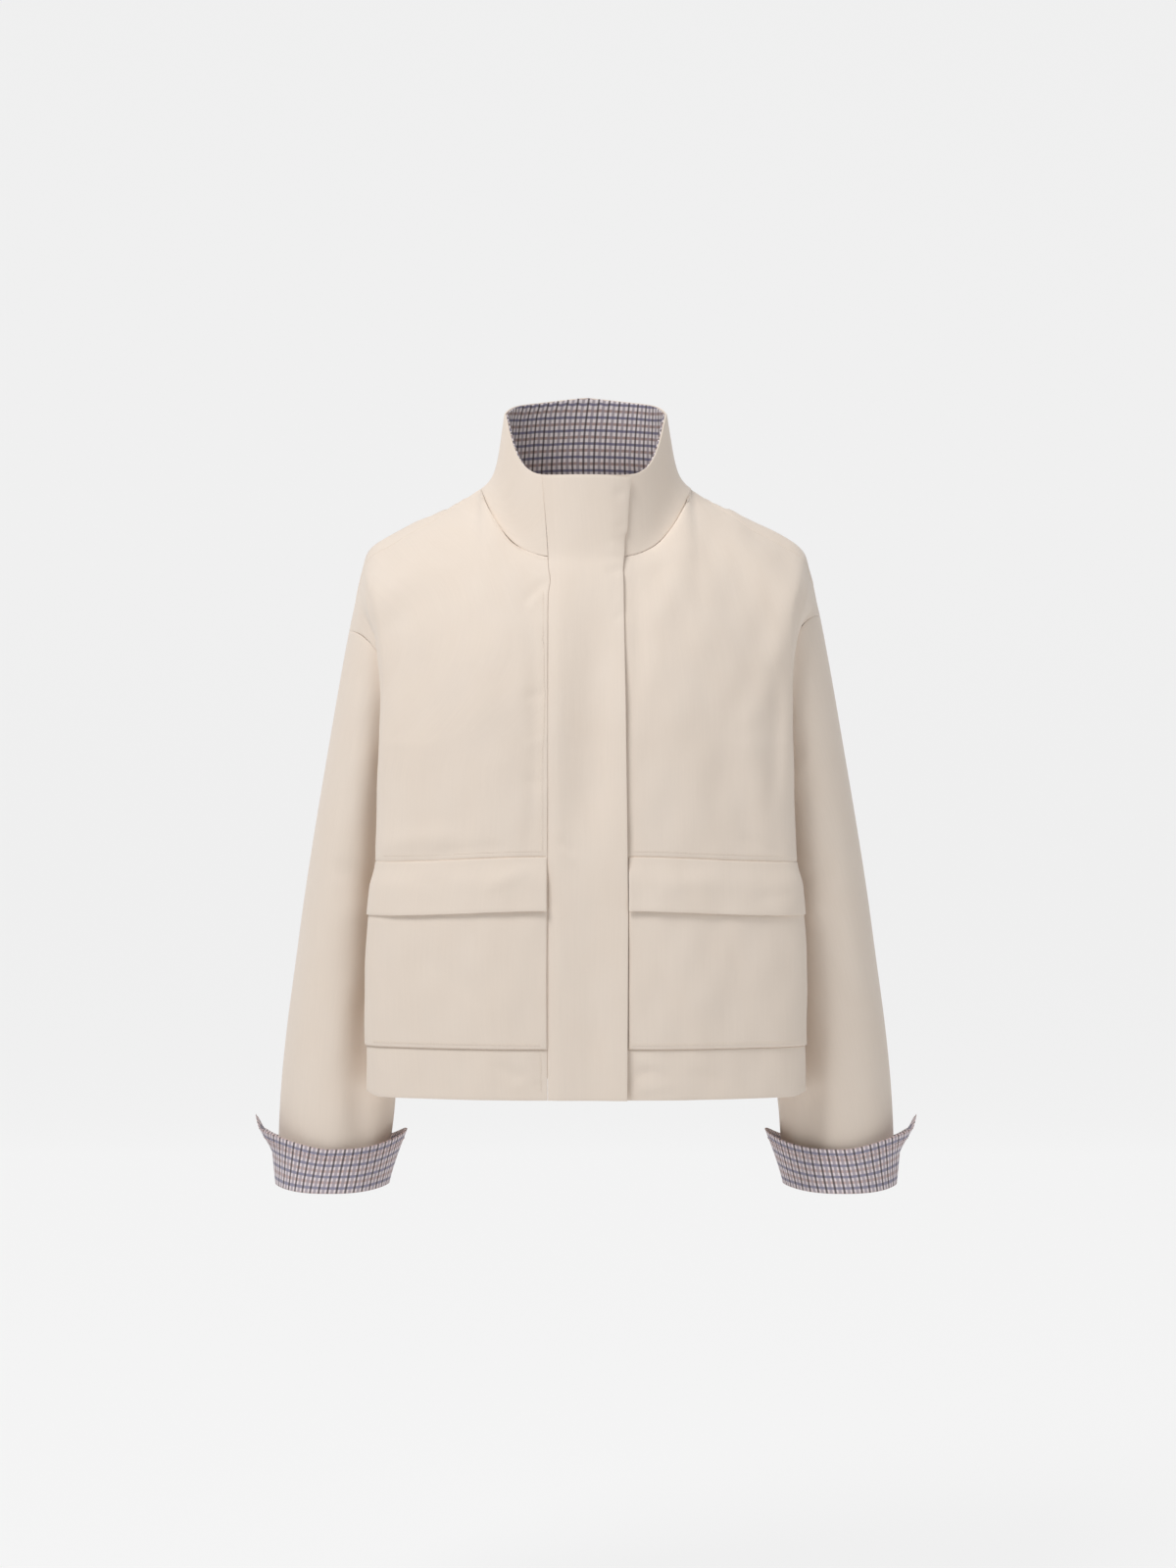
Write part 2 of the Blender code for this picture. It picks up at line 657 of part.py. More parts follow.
def make_pockets(collection):
    pocket_levels = BODY_LEVELS[:4]
    flap_levels = BODY_LEVELS[2:5]
    for side, edge_x in (("left", PLACKET_RIGHT), ("right", -PLACKET_LEFT)):
        margin = POCKET_MARGIN
        base = front_grid(edge_x + margin, side, pocket_levels)
        grid = trim(moved_out(base, LAY_GAP + LINING_CLOTH), bottom=SEAM_GAP, end=margin, top=margin)
        cloth(f"pocket_{side}", mirrored(grid, side), LINING_CLOTH, CREAM, collection)
        base = front_grid(edge_x + margin, side, flap_levels)
        over_pocket = 2.0 * LAY_GAP + LINING_CLOTH + CLOTH
        lift = np.array([over_pocket + FLAP_EDGE_LIFT, over_pocket, over_pocket - FLAP_SEAM_SINK])
        grid = base + normals(base) * lift[:, None, None]
        cloth(f"flap_{side}", mirrored(trim(grid, end=margin), side), CLOTH, CREAM, collection)


def cuff_grid():
    """The turned-back band: from its fold up to the free edge, open at the vent on the outer side."""
    turns = np.linspace(CUFF_VENT, 2.0 * math.pi - CUFF_VENT, CUFF_COLUMNS)
    turn, height = np.meshgrid(turns, np.linspace(0.0, 1.0, CUFF_ROWS))
    outer = np.cos(turn) > 0.0
    outward = np.abs(np.cos(turn))
    rise, sharpness, spread = (
        np.where(outer, CUFF_SIDES["outer"][size], CUFF_SIDES["inner"][size])
        for size in ("rise", "sharpness", "spread")
    )
    fold = sleeve_surface(turn, sleeve_end_z(turn) + CUFF_FOLD_Z - SLEEVE_END_Z)
    centre = through(SLEEVE_SECTIONS, np.array(CUFF_FOLD_Z))[:2]
    away = fold[..., :2] - centre
    away = away / np.linalg.norm(away, axis=-1, keepdims=True)
    fold_plan = fold[..., :2] + away * (2.0 * LAY_GAP + CLOTH)
    edge_x = CUFF_TOP_CENTRE_X + CUFF_TOP_HALF_WIDTH * np.cos(turn)
    edge_y = CUFF_TOP_CENTRE_Y - CUFF_TOP_HALF_DEPTH * np.sin(turn)
    edge_z = CUFF_EDGE_Z + rise * outward**sharpness
    share = height ** (CUFF_SPREAD + (spread - CUFF_SPREAD) * outward**2)
    x = fold_plan[..., 0] * (1.0 - share) + edge_x * share
    y = fold_plan[..., 1] * (1.0 - share) + edge_y * share
    z = fold[..., 2] + (edge_z - fold[..., 2]) * height
    return points(x, y, z)[:, ::-1]


def make_cuffs(collection):
    for side in ("left", "right"):
        cloth(f"cuff_{side}", mirrored(cuff_grid(), side), CLOTH, CHECK, collection)


def main():
    for old in list(bpy.data.objects):
        bpy.data.objects.remove(old, do_unlink=True)
    collection = bpy.data.collections.new(JACKET)
    bpy.context.scene.collection.children.link(collection)
    make_fronts(collection)
    make_back(collection)
    make_bands(collection)
    make_sleeves(collection)
    make_collar(collection)
    make_placket(collection)
    make_pockets(collection)
    make_cuffs(collection)


main()
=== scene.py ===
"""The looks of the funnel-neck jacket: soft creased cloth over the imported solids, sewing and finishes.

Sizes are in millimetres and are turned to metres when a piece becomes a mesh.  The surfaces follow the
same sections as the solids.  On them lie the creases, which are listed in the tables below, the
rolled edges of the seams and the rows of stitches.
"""

import math

import bmesh
import bpy
import numpy as np
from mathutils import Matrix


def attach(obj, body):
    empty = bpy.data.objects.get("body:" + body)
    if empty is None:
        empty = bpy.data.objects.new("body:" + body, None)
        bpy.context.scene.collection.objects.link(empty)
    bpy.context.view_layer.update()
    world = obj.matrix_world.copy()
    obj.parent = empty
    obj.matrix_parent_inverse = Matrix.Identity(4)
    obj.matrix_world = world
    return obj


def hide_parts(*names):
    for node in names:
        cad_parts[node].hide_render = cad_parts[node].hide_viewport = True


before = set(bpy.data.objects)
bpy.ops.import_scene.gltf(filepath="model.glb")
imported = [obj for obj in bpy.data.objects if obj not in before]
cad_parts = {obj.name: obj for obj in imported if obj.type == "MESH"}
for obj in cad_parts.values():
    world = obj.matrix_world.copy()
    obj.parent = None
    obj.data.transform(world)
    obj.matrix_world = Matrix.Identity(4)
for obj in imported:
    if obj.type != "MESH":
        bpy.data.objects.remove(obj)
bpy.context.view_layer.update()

MM = 0.001

# Keeps a length from being 0 where something is divided by it
TINY = 1e-9

# Cloth, as in the solids
CLOTH = 1.5
DOUBLED_CLOTH = 2.0
LINING_CLOTH = 1.2
LAY_GAP = 0.5

# Heights
HEM_Z = -563.0
BAND_TOP_Z = -517.0
FLAP_BOTTOM_Z = -392.0
POCKET_TOP_Z = -354.0
FLAP_TOP_Z = -343.0
UNDERARM_Z = -240.0
NECK_FRONT_Z = -70.0
NECK_BACK_Z = 14.0

# Neck
NECK_HALF_WIDTH = 99.0
NECK_FRONT_Y = -85.0
NECK_BACK_Y = 62.0
COLLAR_TOP_HALF_WIDTH = 76.0
COLLAR_TOP_CENTRE_Y = -13.0
COLLAR_TOP_HALF_DEPTH = 62.0
COLLAR_TOP_FRONT_Z = 6.0
COLLAR_TOP_SIDE_Z = 69.0
COLLAR_TOP_BACK_Z = 91.0

# How far the collar's front leans forward at its top, and how late on the way up
COLLAR_LEAN = 9.0
COLLAR_LEAN_LATE = 1.5

# How late the neck seam and the collar's top leave their centre height on the way to the side: 1 is a
# straight slope and more is later.  At the back the top edge falls gently first and then steeply
NECK_FRONT_LATE = 3.9
NECK_BACK_LATE = 2.5
COLLAR_FRONT_LATE = 6.5
COLLAR_BACK_GENTLE = 0.55
COLLAR_BACK_GENTLE_LATE = 1.3
COLLAR_BACK_STEEP_LATE = 14.0

# The collar spreads at its base: how much of the spread is in the lowest part, how high that part is as
# a share of the collar, and how much the centre back takes part
COLLAR_FLARE = 0.55
COLLAR_FLARE_HEIGHT = 0.12
COLLAR_FLARE_BACK = 0.5

# Front closing: the right front is sewn to the placket at the placket's left edge, seen from the front
PLACKET_LEFT = -34.7
PLACKET_RIGHT = 37.5
PLACKET_LEFT_FLARE = 6.0
PLACKET_RIGHT_FLARE = 3.0
RIGHT_FRONT_EDGE_X = -34.8
UNDERLAP_EDGE_X = -32.0

# Columns of the body as shares of the way from the centre line to the side seam: the breast or blade,
# the fold beside the arm, the crease behind it, and the hollow where the sleeve nests
BREAST = 0.37
FOLD = 0.72
CREASE = 0.86
NEST = (
    # share, turn round the sleeve in degrees
    (0.86, 135.0),
    (0.907, 150.0),
    (0.953, 165.0),
    (1.0, 180.0),
)

# Body sections from the hem to the underarm, then the way over the chest to the shoulder
FRONT_SECTIONS = (
    # z, centre_y, breast_y, fold_x, fold_y
    (-563.0, -121.0, -114.0, 202.0, -64.0),
    (-460.0, -121.0, -114.0, 201.0, -64.0),
    (-400.0, -120.0, -113.0, 198.5, -64.0),
    (-343.0, -119.0, -112.0, 193.5, -63.0),
    (-240.0, -117.0, -110.0, 190.0, -62.0),
)
BACK_SECTIONS = (
    (-563.0, 110.0, 106.0, 190.0, 74.0),
    (-460.0, 110.0, 106.0, 189.0, 75.0),
    (-400.0, 110.0, 106.0, 188.0, 76.0),
    (-343.0, 109.0, 105.0, 186.0, 77.0),
    (-240.0, 107.0, 103.0, 184.0, 78.0),
)
BREAST_X = 108.0

FRONT_CAP = (
    # rise, fold_x, fold_y, fold_z, crease_x, crease_y, crease_z
    (0.30, 190.0, -62.0, -190.0, 175.0, -48.0, -197.0),
    (0.55, 192.5, -61.0, -145.0, 191.5, -48.0, -149.0),
    (0.80, 199.0, -49.0, -95.0, 209.5, -32.0, -113.0),
)
BACK_CAP = (
    (0.30, 186.0, 78.0, -190.0, 178.0, 69.0, -197.0),
    (0.55, 191.0, 74.0, -145.0, 193.0, 69.0, -149.0),
    (0.80, 198.0, 56.0, -95.0, 208.0, 48.0, -113.0),
)

SHOULDER_LINE = (
    # share, x, z
    (0.37, 99.0, 0.0),
    (0.42, 113.0, -9.0),
    (0.50, 135.0, -19.5),
    (0.58, 156.0, -28.7),
    (0.66, 179.0, -39.5),
    (0.71, 194.0, -48.0),
    (0.75, 203.0, -57.5),
    (0.80, 208.5, -72.0),
    (0.86, 213.5, -91.0),
    (1.00, 222.0, -130.0),
)
SHOULDER_Y = -4.0
ARMHOLE_TOP_Y = 6.0

# How near to level the cloth ends at the neck: 1 is level, and less leaves it sloping up to the seam
CENTRE_REACH = {"front": 0.77, "back": 0.93}
BREAST_REACH = 0.93

# How full those columns are: 2 is an ellipse and more is squarer
CENTRE_FULLNESS = 2.0
BREAST_FULLNESS = 2.1
ROW_PACE = 1.3

# Shares of the rise from the underarm over which the nest beside the sleeve and the gap at the armhole
# fade out, and how late the true shoulder line takes over
NEST_FADE = 0.4
ARMHOLE_GAP_FADE = 0.5
SHOULDER_LINE_LATE = 4

# The shoulder seam lies in front of the ridge, most of all beside the neck, at shares of the way from
# the neck to the armhole
SHOULDER_SEAM_FORWARD = 0.06
SEAM_FORWARD_FROM = 0.3
SEAM_RETURN_FROM = 0.45
SEAM_RETURN = 0.8

# Sleeve sections, armhole to hand
SLEEVE_SECTIONS = (
    # z, centre_x, centre_y, half_width, half_depth
    (-110.0, 179.0, 6.0, 39.0, 49.0),
    (-130.0, 182.0, 6.0, 40.0, 51.0),
    (-240.0, 197.0, 12.0, 45.0, 56.0),
    (-400.0, 217.5, 17.0, 50.5, 55.0),
    (-585.0, 234.7, 9.0, 53.7, 48.0),
    (-655.0, 238.5, 3.0, 51.0, 45.0),
)
SLEEVE_END_Z = -654.0
SLEEVE_END_RISE = 5.0
ARMHOLE_TOP_Z = {"right": -134.0, "left": -119.0}
ARMHOLE_BEND = 1.8

# How far the body's side stays off the sleeve from a little way below the underarm, and how much more
# it does beside the nest's middle
ARM_CLEARANCE = 6.0
ARM_CLEARANCE_RUN = 35.0
NEST_EASE = 2.5
NEST_EASE_TURN = 30.0

# Cuff: the free edge rises to a point on the outer side, beside the vent, and on the inner side
CUFF_FOLD_Z = -656.5
CUFF_EDGE_Z = -615.0
CUFF_TOP_CENTRE_X = 238.5
CUFF_TOP_CENTRE_Y = 6.0
CUFF_TOP_HALF_WIDTH = 70.5
CUFF_TOP_HALF_DEPTH = 55.0
CUFF_VENT = math.radians(2.0)
CUFF_CLOTH_HEIGHT = 43.0
CUFF_SPREAD = 1.4
CUFF_BACK_SHARPNESS = 6.0
CUFF_SIDES = {
    # side: how far the point rises, how sharply, and how late the wall spreads on its way up
    "outer": {"rise": 17.0, "sharpness": 1.4, "spread": 2.6},
    "inner": {"rise": 14.0, "sharpness": 3.5, "spread": 1.2},
}

# Beside the vent the cuff stands straight up to the notch and then turns out, and its tip curls up
CUFF_NOTCH = 0.56
CUFF_BELOW_NOTCH = 0.3
CUFF_NOTCH_LATE = 1.1
CUFF_NOTCH_FROM = 0.75
CUFF_TIP_FROM = 0.95
CUFF_TIP_OUT = 1.5
CUFF_TIP_RISE = 11.0
CUFF_TIP_BACK = 0.8
CUFF_TIP_THIN = 0.75
CUFF_THIN_FROM = 0.9
CUFF_WAVE = 0.5
CUFF_WAVES = 5.0

# The placket's free edge, which wanders a little
PLACKET_EDGE = (
    # z, x
    (-563.0, 37.3),
    (-392.0, 38.2),
    (-321.0, 37.3),
    (-188.0, 35.5),
    (-99.6, 33.9),
    (-82.0, 33.2),
    (-68.6, 34.0),
    (-50.0, 34.4),
    (-45.0, 36.8),
    (-30.0, 37.3),
    (-14.0, 37.8),
    (4.0, 39.5),
)

# The fold that the front makes beside the armhole: outside this line the cloth steps back
ARMHOLE_FOLD = {
    # z, distance from the centre line
    "left": (
        (-215.0, 188.0),
        (-143.0, 189.0),
        (-113.0, 191.6),
        (-92.5, 197.0),
        (-77.0, 200.5),
        (-60.0, 207.0),
    ),
    "right": (
        (-215.0, 185.5),
        (-188.0, 186.0),
        (-153.0, 188.0),
        (-122.0, 193.0),
        (-103.0, 197.0),
        (-92.5, 203.0),
        (-70.0, 210.0),
    ),
}
FOLD_STEP = 5.0
FOLD_STEP_WIDTH = 5.0
FOLD_STEP_RUN = 26.0
FOLD_STEP_START = 55.0
FOLD_STEP_STOP = 25.0

# The hem's corners lift a little where the cloth turns to the side
HEM_CORNER = 4.0
HEM_CORNER_X = 190.0
HEM_CORNER_WIDTH = 13.0

# The groove in which the flaps are sewn, and how far the flaps drop toward the sides
FLAP_SEAM_DEPTH = 0.8
FLAP_SEAM_WIDTH = 0.9
FLAP_SAG = 6.0
FLAP_SAG_Z = -367.0
FLAP_SAG_REACH = 60.0
FLAP_SAG_FROM_X = 40.0
FLAP_SAG_RUN = 150.0

# The placket: how far in its lay begins, how its free edge lifts and hangs, and where a tuck pulls at
# its sewn edge
PLACKET_LAY_SHARE = 0.14
PLACKET_LIFT_FROM = 0.55
PLACKET_WANDER_FROM = 0.6
PLACKET_EDGE_LIFT = 1.6
PLACKET_EDGE_WAVES = (
    # how far, run up the placket, phase
    (0.9, 47.0, 0.8),
    (0.5, 19.0, 0.0),
)
PLACKET_DROOP = 2.4
PLACKET_DROOP_Z = -30.0
PLACKET_DROOP_RUN = 34.0
PLACKET_DROOP_FROM = 0.62
TUCK_Z = -91.0
TUCK_SHIFT = 1.9
TUCK_HEIGHT = 9.0
TUCK_REACH_SQUARED = 60.0
PLACKET_SHARE_OF_CREASES = 0.3
PLACKET_SMOOTHING = 6

# Pockets and flaps: how far their edge stays from the placket, how full a pocket is, and how a flap
# stands off its pocket at its seam, in its middle and at its lower edge
POCKET_MARGIN = 1.0
POCKET_BELLY = 0.8
FLAP_SEAM_LIFT = 0.1
FLAP_LIFT = 0.4
FLAP_EDGE_LIFT = 1.3
FLAP_FLAT_FROM_X = 160.0
FLAP_FLAT_RUN = 35.0

# How closely the cloth is divided, in millimetres and in rows and columns
CLOTH_STEP = 4.0
NECK_STEPS = 26
TRIAL_COLUMNS = 61
SLEEVE_COLUMNS = 81
SLEEVE_ROWS = 131
COLLAR_COLUMNS = 141
COLLAR_ROWS = 25
COLLAR_ROW_PACE = 1.15
PLACKET_COLUMNS = 22
PLACKET_COLLAR_ROWS = 20
CUFF_COLUMNS = 121
CUFF_ROWS = 19
STITCH_LINE_POINTS = 60
BODY_LINE_TRIALS = 160

# Corners nearer than this join, where a sleeve closes round
WELD = 0.02

# A seam's edges turn in: the last strip of cloth beside the seam and how far it goes down
ROLL_WIDTH = 1.7
ROLL_DEPTH = 0.5
PLACKET_SEAM_DEPTH = 0.35
ARMHOLE_SEAM_DEPTH = 0.35
POCKET_SEAM_DEPTH = 1.0
ROLL_MIDDLE_WIDTH = 0.35
ROLL_MIDDLE_DEPTH = 0.3

# Where the front's cloth, with its creases and its step, gives way to the back's
FRONT_TO_Y = 5.0
FRONT_TO_RUN = 20.0
BACK_FROM_RUN = 30.0

# A crease is a shallow bow: its ends lie aside of the straight way by a quarter of this share of its
# length.  It fades over the next share of its length and stops the last share beyond its ends
CREASE_BOW = 0.12
CREASE_FADE = 0.45
CREASE_PAST_END = 0.15

# Creases of the front, seen from the front: where each starts and ends, how wide it is across, and how
# far it stands out, or in below 0
FRONT_CREASES = (
    # x0, z0, x1, z1, width, out
    (-150.0, -66.0, -120.0, -68.0, 7.0, -1.2),
    (-38.0, -92.0, -56.0, -111.0, 3.4, -1.3),
    (-38.0, -100.0, -52.0, -119.0, 3.0, 0.8),
    (-38.0, -84.0, -50.0, -93.0, 3.0, 0.6),
    (-45.0, -130.0, -45.0, -330.0, 8.0, -2.0),
    (-36.0, -195.0, -58.0, -199.0, 5.0, -0.8),
    (-36.0, -238.0, -58.0, -243.0, 5.0, 0.4),
    (-36.0, -277.0, -57.0, -274.0, 5.0, -0.8),
    (-190.0, -328.0, -115.0, -321.0, 9.0, 1.8),
    (-150.0, -338.0, -70.0, -332.0, 5.0, -1.0),
    (-92.0, -370.0, -46.0, -352.0, 5.0, 1.1),
    (-160.0, -361.0, -120.0, -366.0, 6.0, -0.7),
    (-87.0, -530.0, -39.0, -550.0, 5.0, -1.0),
    (-70.0, -552.0, -39.0, -541.0, 4.0, 0.8),
    (-150.0, -430.0, -95.0, -470.0, 14.0, -1.1),
    (-105.0, -140.0, -75.0, -225.0, 16.0, 1.3),
    (-150.0, -150.0, -172.0, -280.0, 13.0, -1.6),
    (50.0, -75.0, 104.0, -60.0, 9.0, 1.0),
    (46.0, -80.0, 49.0, -205.0, 7.0, -2.2),
    (60.0, -140.0, 88.0, -70.0, 12.0, 1.4),
    (192.0, -95.0, 168.0, -180.0, 12.0, 2.2),
    (168.0, -180.0, 143.0, -228.0, 12.0, 1.8),
    (146.0, -225.0, 164.0, -318.0, 10.0, 1.6),
    (178.0, -190.0, 172.0, -300.0, 8.0, -2.2),
    (128.0, -250.0, 118.0, -330.0, 12.0, -0.5),
    (142.0, -322.0, 180.0, -338.0, 6.0, -1.0),
    (44.0, -525.0, 72.0, -534.0, 4.0, 1.1),
    (42.0, -542.0, 62.0, -535.0, 3.6, -1.5),
    (46.0, -553.0, 80.0, -549.0, 4.0, 1.0),
    (42.0, -560.0, 60.0, -561.0, 3.0, -1.4),
    (86.0, -538.0, 130.0, -546.0, 6.0, -0.7),
    (150.0, -40.0, 176.0, -55.0, 7.0, -0.9),
    (60.0, -372.0, 120.0, -360.0, 7.0, 0.7),
    (150.0, -378.0, 196.0, -368.0, 7.0, -0.8),
    (130.0, -420.0, 96.0, -490.0, 14.0, 1.0),
)

# A long shallow hollow down the middle of the front, which the placket and the cloth below it share
PLACKET_HOLLOW = (12.0, -96.0, 0.0, -345.0, 24.0, -6.5)

# Small creases of the placket alone
PLACKET_CREASES = (
    (-26.0, -326.0, -8.0, -340.0, 4.0, -0.8),
    (-24.0, -336.0, -12.0, -352.0, 4.0, 0.6),
    (36.0, -8.0, 26.0, -14.0, 4.0, -1.0),
    (38.0, -40.0, 26.0, -43.0, 3.0, -0.7),
    (38.0, -68.0, 20.0, -60.0, 4.0, 1.0),
    (37.0, -80.0, 18.0, -84.0, 4.0, -1.0),
    (2.0, -430.0, 8.0, -540.0, 12.0, -1.0),
    (36.0, -120.0, 25.0, -128.0, 4.0, -0.7),
)

# The same for the back, where x still runs to the wearer's left
BACK_CREASES = (
    (-150.0, -120.0, -62.0, -250.0, 14.0, 2.2),
    (-168.0, -160.0, -120.0, -290.0, 10.0, -2.0),
    (146.0, -140.0, 76.0, -285.0, 14.0, 2.0),
    (172.0, -170.0, 130.0, -300.0, 11.0, -2.2),
    (-60.0, -8.0, 52.0, -14.0, 7.0, -0.9),
    (-22.0, -300.0, -46.0, -505.0, 15.0, -1.8),
    (34.0, -260.0, 72.0, -500.0, 15.0, 1.6),
    (-118.0, -330.0, -108.0, -520.0, 13.0, 1.8),
    (120.0, -350.0, 112.0, -540.0, 12.0, -1.7),
    (-172.0, -300.0, -160.0, -470.0, 10.0, -1.8),
    (-90.0, -45.0, -140.0, -80.0, 9.0, 1.0),
    (96.0, -50.0, 150.0, -92.0, 9.0, -1.0),
    (-40.0, -528.0, -10.0, -545.0, 5.0, -0.8),
    (60.0, -550.0, 92.0, -538.0, 5.0, 0.8),
)

# Creases of the sleeves: turns round the sleeve in degrees, 90 in front and 180 at the body
SLEEVE_CREASES = (
    # turn0, z0, turn1, z1, width, out
    (95.0, -205.0, 150.0, -262.0, 9.0, -1.6),
    (70.0, -240.0, 130.0, -300.0, 11.0, 1.2),
    (60.0, -352.0, 138.0, -378.0, 10.0, -1.4),
    (75.0, -392.0, 150.0, -404.0, 10.0, 1.4),
    (55.0, -300.0, 62.0, -470.0, 13.0, 1.0),
    (112.0, -548.0, 132.0, -632.0, 12.0, -2.0),
    (88.0, -470.0, 98.0, -640.0, 13.0, 1.3),
    (20.0, -420.0, 35.0, -600.0, 15.0, -1.0),
    (215.0, -330.0, 300.0, -352.0, 9.0, -2.6),
    (222.0, -362.0, 310.0, -386.0, 9.0, 2.0),
    (230.0, -400.0, 318.0, -408.0, 10.0, -2.4),
    (240.0, -215.0, 210.0, -290.0, 10.0, -1.8),
    (262.0, -440.0, 250.0, -620.0, 14.0, 1.6),
    (300.0, -470.0, 306.0, -600.0, 12.0, -1.5),
    (330.0, -180.0, 320.0, -330.0, 14.0, 1.2),
)

# The long fold down the front of each sleeve beside the body, in degrees round the sleeve
SLEEVE_FOLD = {
    "right": (107.0, -185.0, 130.0, -590.0, 21.0, -11.0),
    "left": (112.0, -185.0, 132.0, -590.0, 20.0, -5.5),
}

# A degree round the sleeve is about this many millimetres of its cloth
SLEEVE_DEGREE = 0.92

# The sleeve's cloth beside the body isn't pushed out against it
BESIDE_BODY_FROM = 0.55
BESIDE_BODY_RUN = 0.3

# The collar waves a little toward its top, and its lining is gathered at the back of the neck, from one
# angle round the neck to another
COLLAR_WAVES = (
    # waves round the neck, phase, how far
    (3.0, 0.6, 0.8),
    (7.0, 2.0, 0.45),
)
GATHER_FROM = 2.6
GATHER_TO = 4.3
GATHER_RUN = 0.4
GATHERS = 43.0
GATHER_HEIGHT = 0.7
GATHER_TOP = 0.75
LINING_INSET = 0.5
LINING_ARCH = 8.0

# Small soft unevenness of cloth that hangs, different on each piece by its seed
SLACK_WAVES = (
    # across mm, along mm, how far, phase
    (61.0, 190.0, 0.35, 0.3),
    (-37.0, 120.0, 0.22, 1.9),
    (23.0, 75.0, 0.10, 4.1),
    (90.0, -55.0, 0.16, 2.6),
)
SLACK_TURN = 1.7
FRONT_SEED = 0.0
BACK_SEED = 2.0
SLEEVE_SEEDS = {"left": 3.0, "right": 5.0}

# Rows of stitches: where they run, and how long, far apart and thick the stitches are.  The cuff's row
# is counted from its free edge
TOPSTITCH_TOP_LEVEL = 1.77
TOPSTITCH_LOW_LEVEL = 0.02
TOPSTITCH_X = 39.2
TOPSTITCH_START_X = {"left": 41.0, "right": 40.5}
FLAP_STITCH_END_X = 186.0
FLAP_STITCH_UP = 5.0
POCKET_STITCH_END_X = 196.0
POCKET_STITCH_UP = 4.5
STITCH_CLEARANCE = 0.3
BODY_STITCH = (2.6, 1.0, 0.42)
CUFF_STITCH = (1.8, 1.2, 0.7)
CUFF_STITCH_ROW = -4

# The form of one stitch: a round bar that is thinner at its ends and stands off the cloth by the first
# share of its thickness there, and by the second one more in its middle
STITCH_SIDES = 6
STITCH_FOOT = 0.2
STITCH_ARCH = 0.3
STITCH_AHEAD = 0.2
STITCH_PROFILE = (
    # share of the length, share of the thickness
    (0.0, 0.35),
    (0.12, 0.8),
    (0.5, 1.0),
    (0.88, 0.8),
    (1.0, 0.35),
)

# The cloth's turned edges: the share of the wall that is rounded and from what angle, and the angle up
# to which faces look like one smooth surface
EDGE_ROUND = 0.35
EDGE_ANGLE = 55.0
SMOOTH_ANGLE = 70.0

# Colours, sRGB
CREAM_HEX = "EBDED1"
CREAM_WARM_HEX = "E9DACB"
THREAD_HEX = "F0E6DA"
ROSE_THREAD_HEX = "B78D84"
# The collar lining's colours are the check's own colours, each set darker than the cuffs' copy of the same
# cloth: painted shade inside the collar
COLLAR_LINING_SHADED_COLOURS = {
    "ground": "EBE2E4",
    "dark": "4A4043",
    "mauve": "91878F",
    "navy": "5D5B7A",
    "rust": "9C7C73",
}
CUFF_COLOURS = {
    "ground": "F2E6E9",
    "dark": "4B4346",
    "mauve": "9E949D",
    "navy": "83829A",
    "rust": "CBAFA9",
}
FLOOR_HEX = "595959"

# The check: its repeat across and along the cloth in millimetres, how far it leans, and where it starts
LINING_REPEAT = {"repeat": (10.3, 12.4), "lean": 0.0, "start": (4.0, 3.0)}
CUFF_REPEAT = {"repeat": (8.2, 11.0), "lean": 0.2, "start": (2.0, 5.2)}
CHECK_LINES = (
    # which way it repeats, share of the repeat, half width mm, colour, strength
    ("along", 0.5, 1.35, "rust", 0.75),
    ("across", 0.5, 1.4, "mauve", 0.75),
    ("along", 0.0, 1.25, "navy", 0.8),
    ("across", 0.0, 1.0, "dark", 0.86),
)
CHECK_WANDER = 1.6
CHECK_WANDER_SPOT = 30.0
CHECK_SOFT_EDGE = 0.5

# Relief of the two cottons: the weave's pitch and strength, then the soft bumps' spots in millimetres,
# strength and depth in metres
WEAVE_DEPTH = 0.0001
CREAM_RELIEF = {"pitch": 0.9, "weave": 0.12, "spot": (26.0, 34.0), "soft": 0.35, "depth": 0.0012}
CHECK_RELIEF = {"pitch": 0.8, "weave": 0.15, "spot": (9.0, 12.0), "soft": 0.4, "depth": 0.0008}

# Camera and stage
CAMERA_X = 1.8
CAMERA_Z = -277.0
CAMERA_DISTANCE = 3200.0
VIEW_HEIGHT = 1472.0
SENSOR_HEIGHT = 24.0
FLOOR_Z = -1080.0
FLOOR_REACH = 9000.0
BACKDROP_FOOT_Y = 4200.0
BACKDROP_RADIUS = 1500.0
BACKDROP_STEPS = 14
BACKDROP_GLOW = 0.80

# Large soft lights, in metres and watts, and the even light from all around
LIGHTS = (
    # name, place, aim, size, power
    ("key", (-1.6, -1.9, 3.0), (0.0, 0.0, -0.2), 1.5, 105.0),
    ("fill", (2.4, -2.2, 1.8), (0.0, 0.0, -0.2), 1.8, 16.0),
    ("top", (0.1, 0.0, 2.4), (0.0, 0.0, -0.3), 1.6, 4.0),
)
WORLD_STRENGTH = 0.25
WHITE = (1.0, 1.0, 1.0, 1.0)


# --- curves through the tables -------------------------------------------------------------------


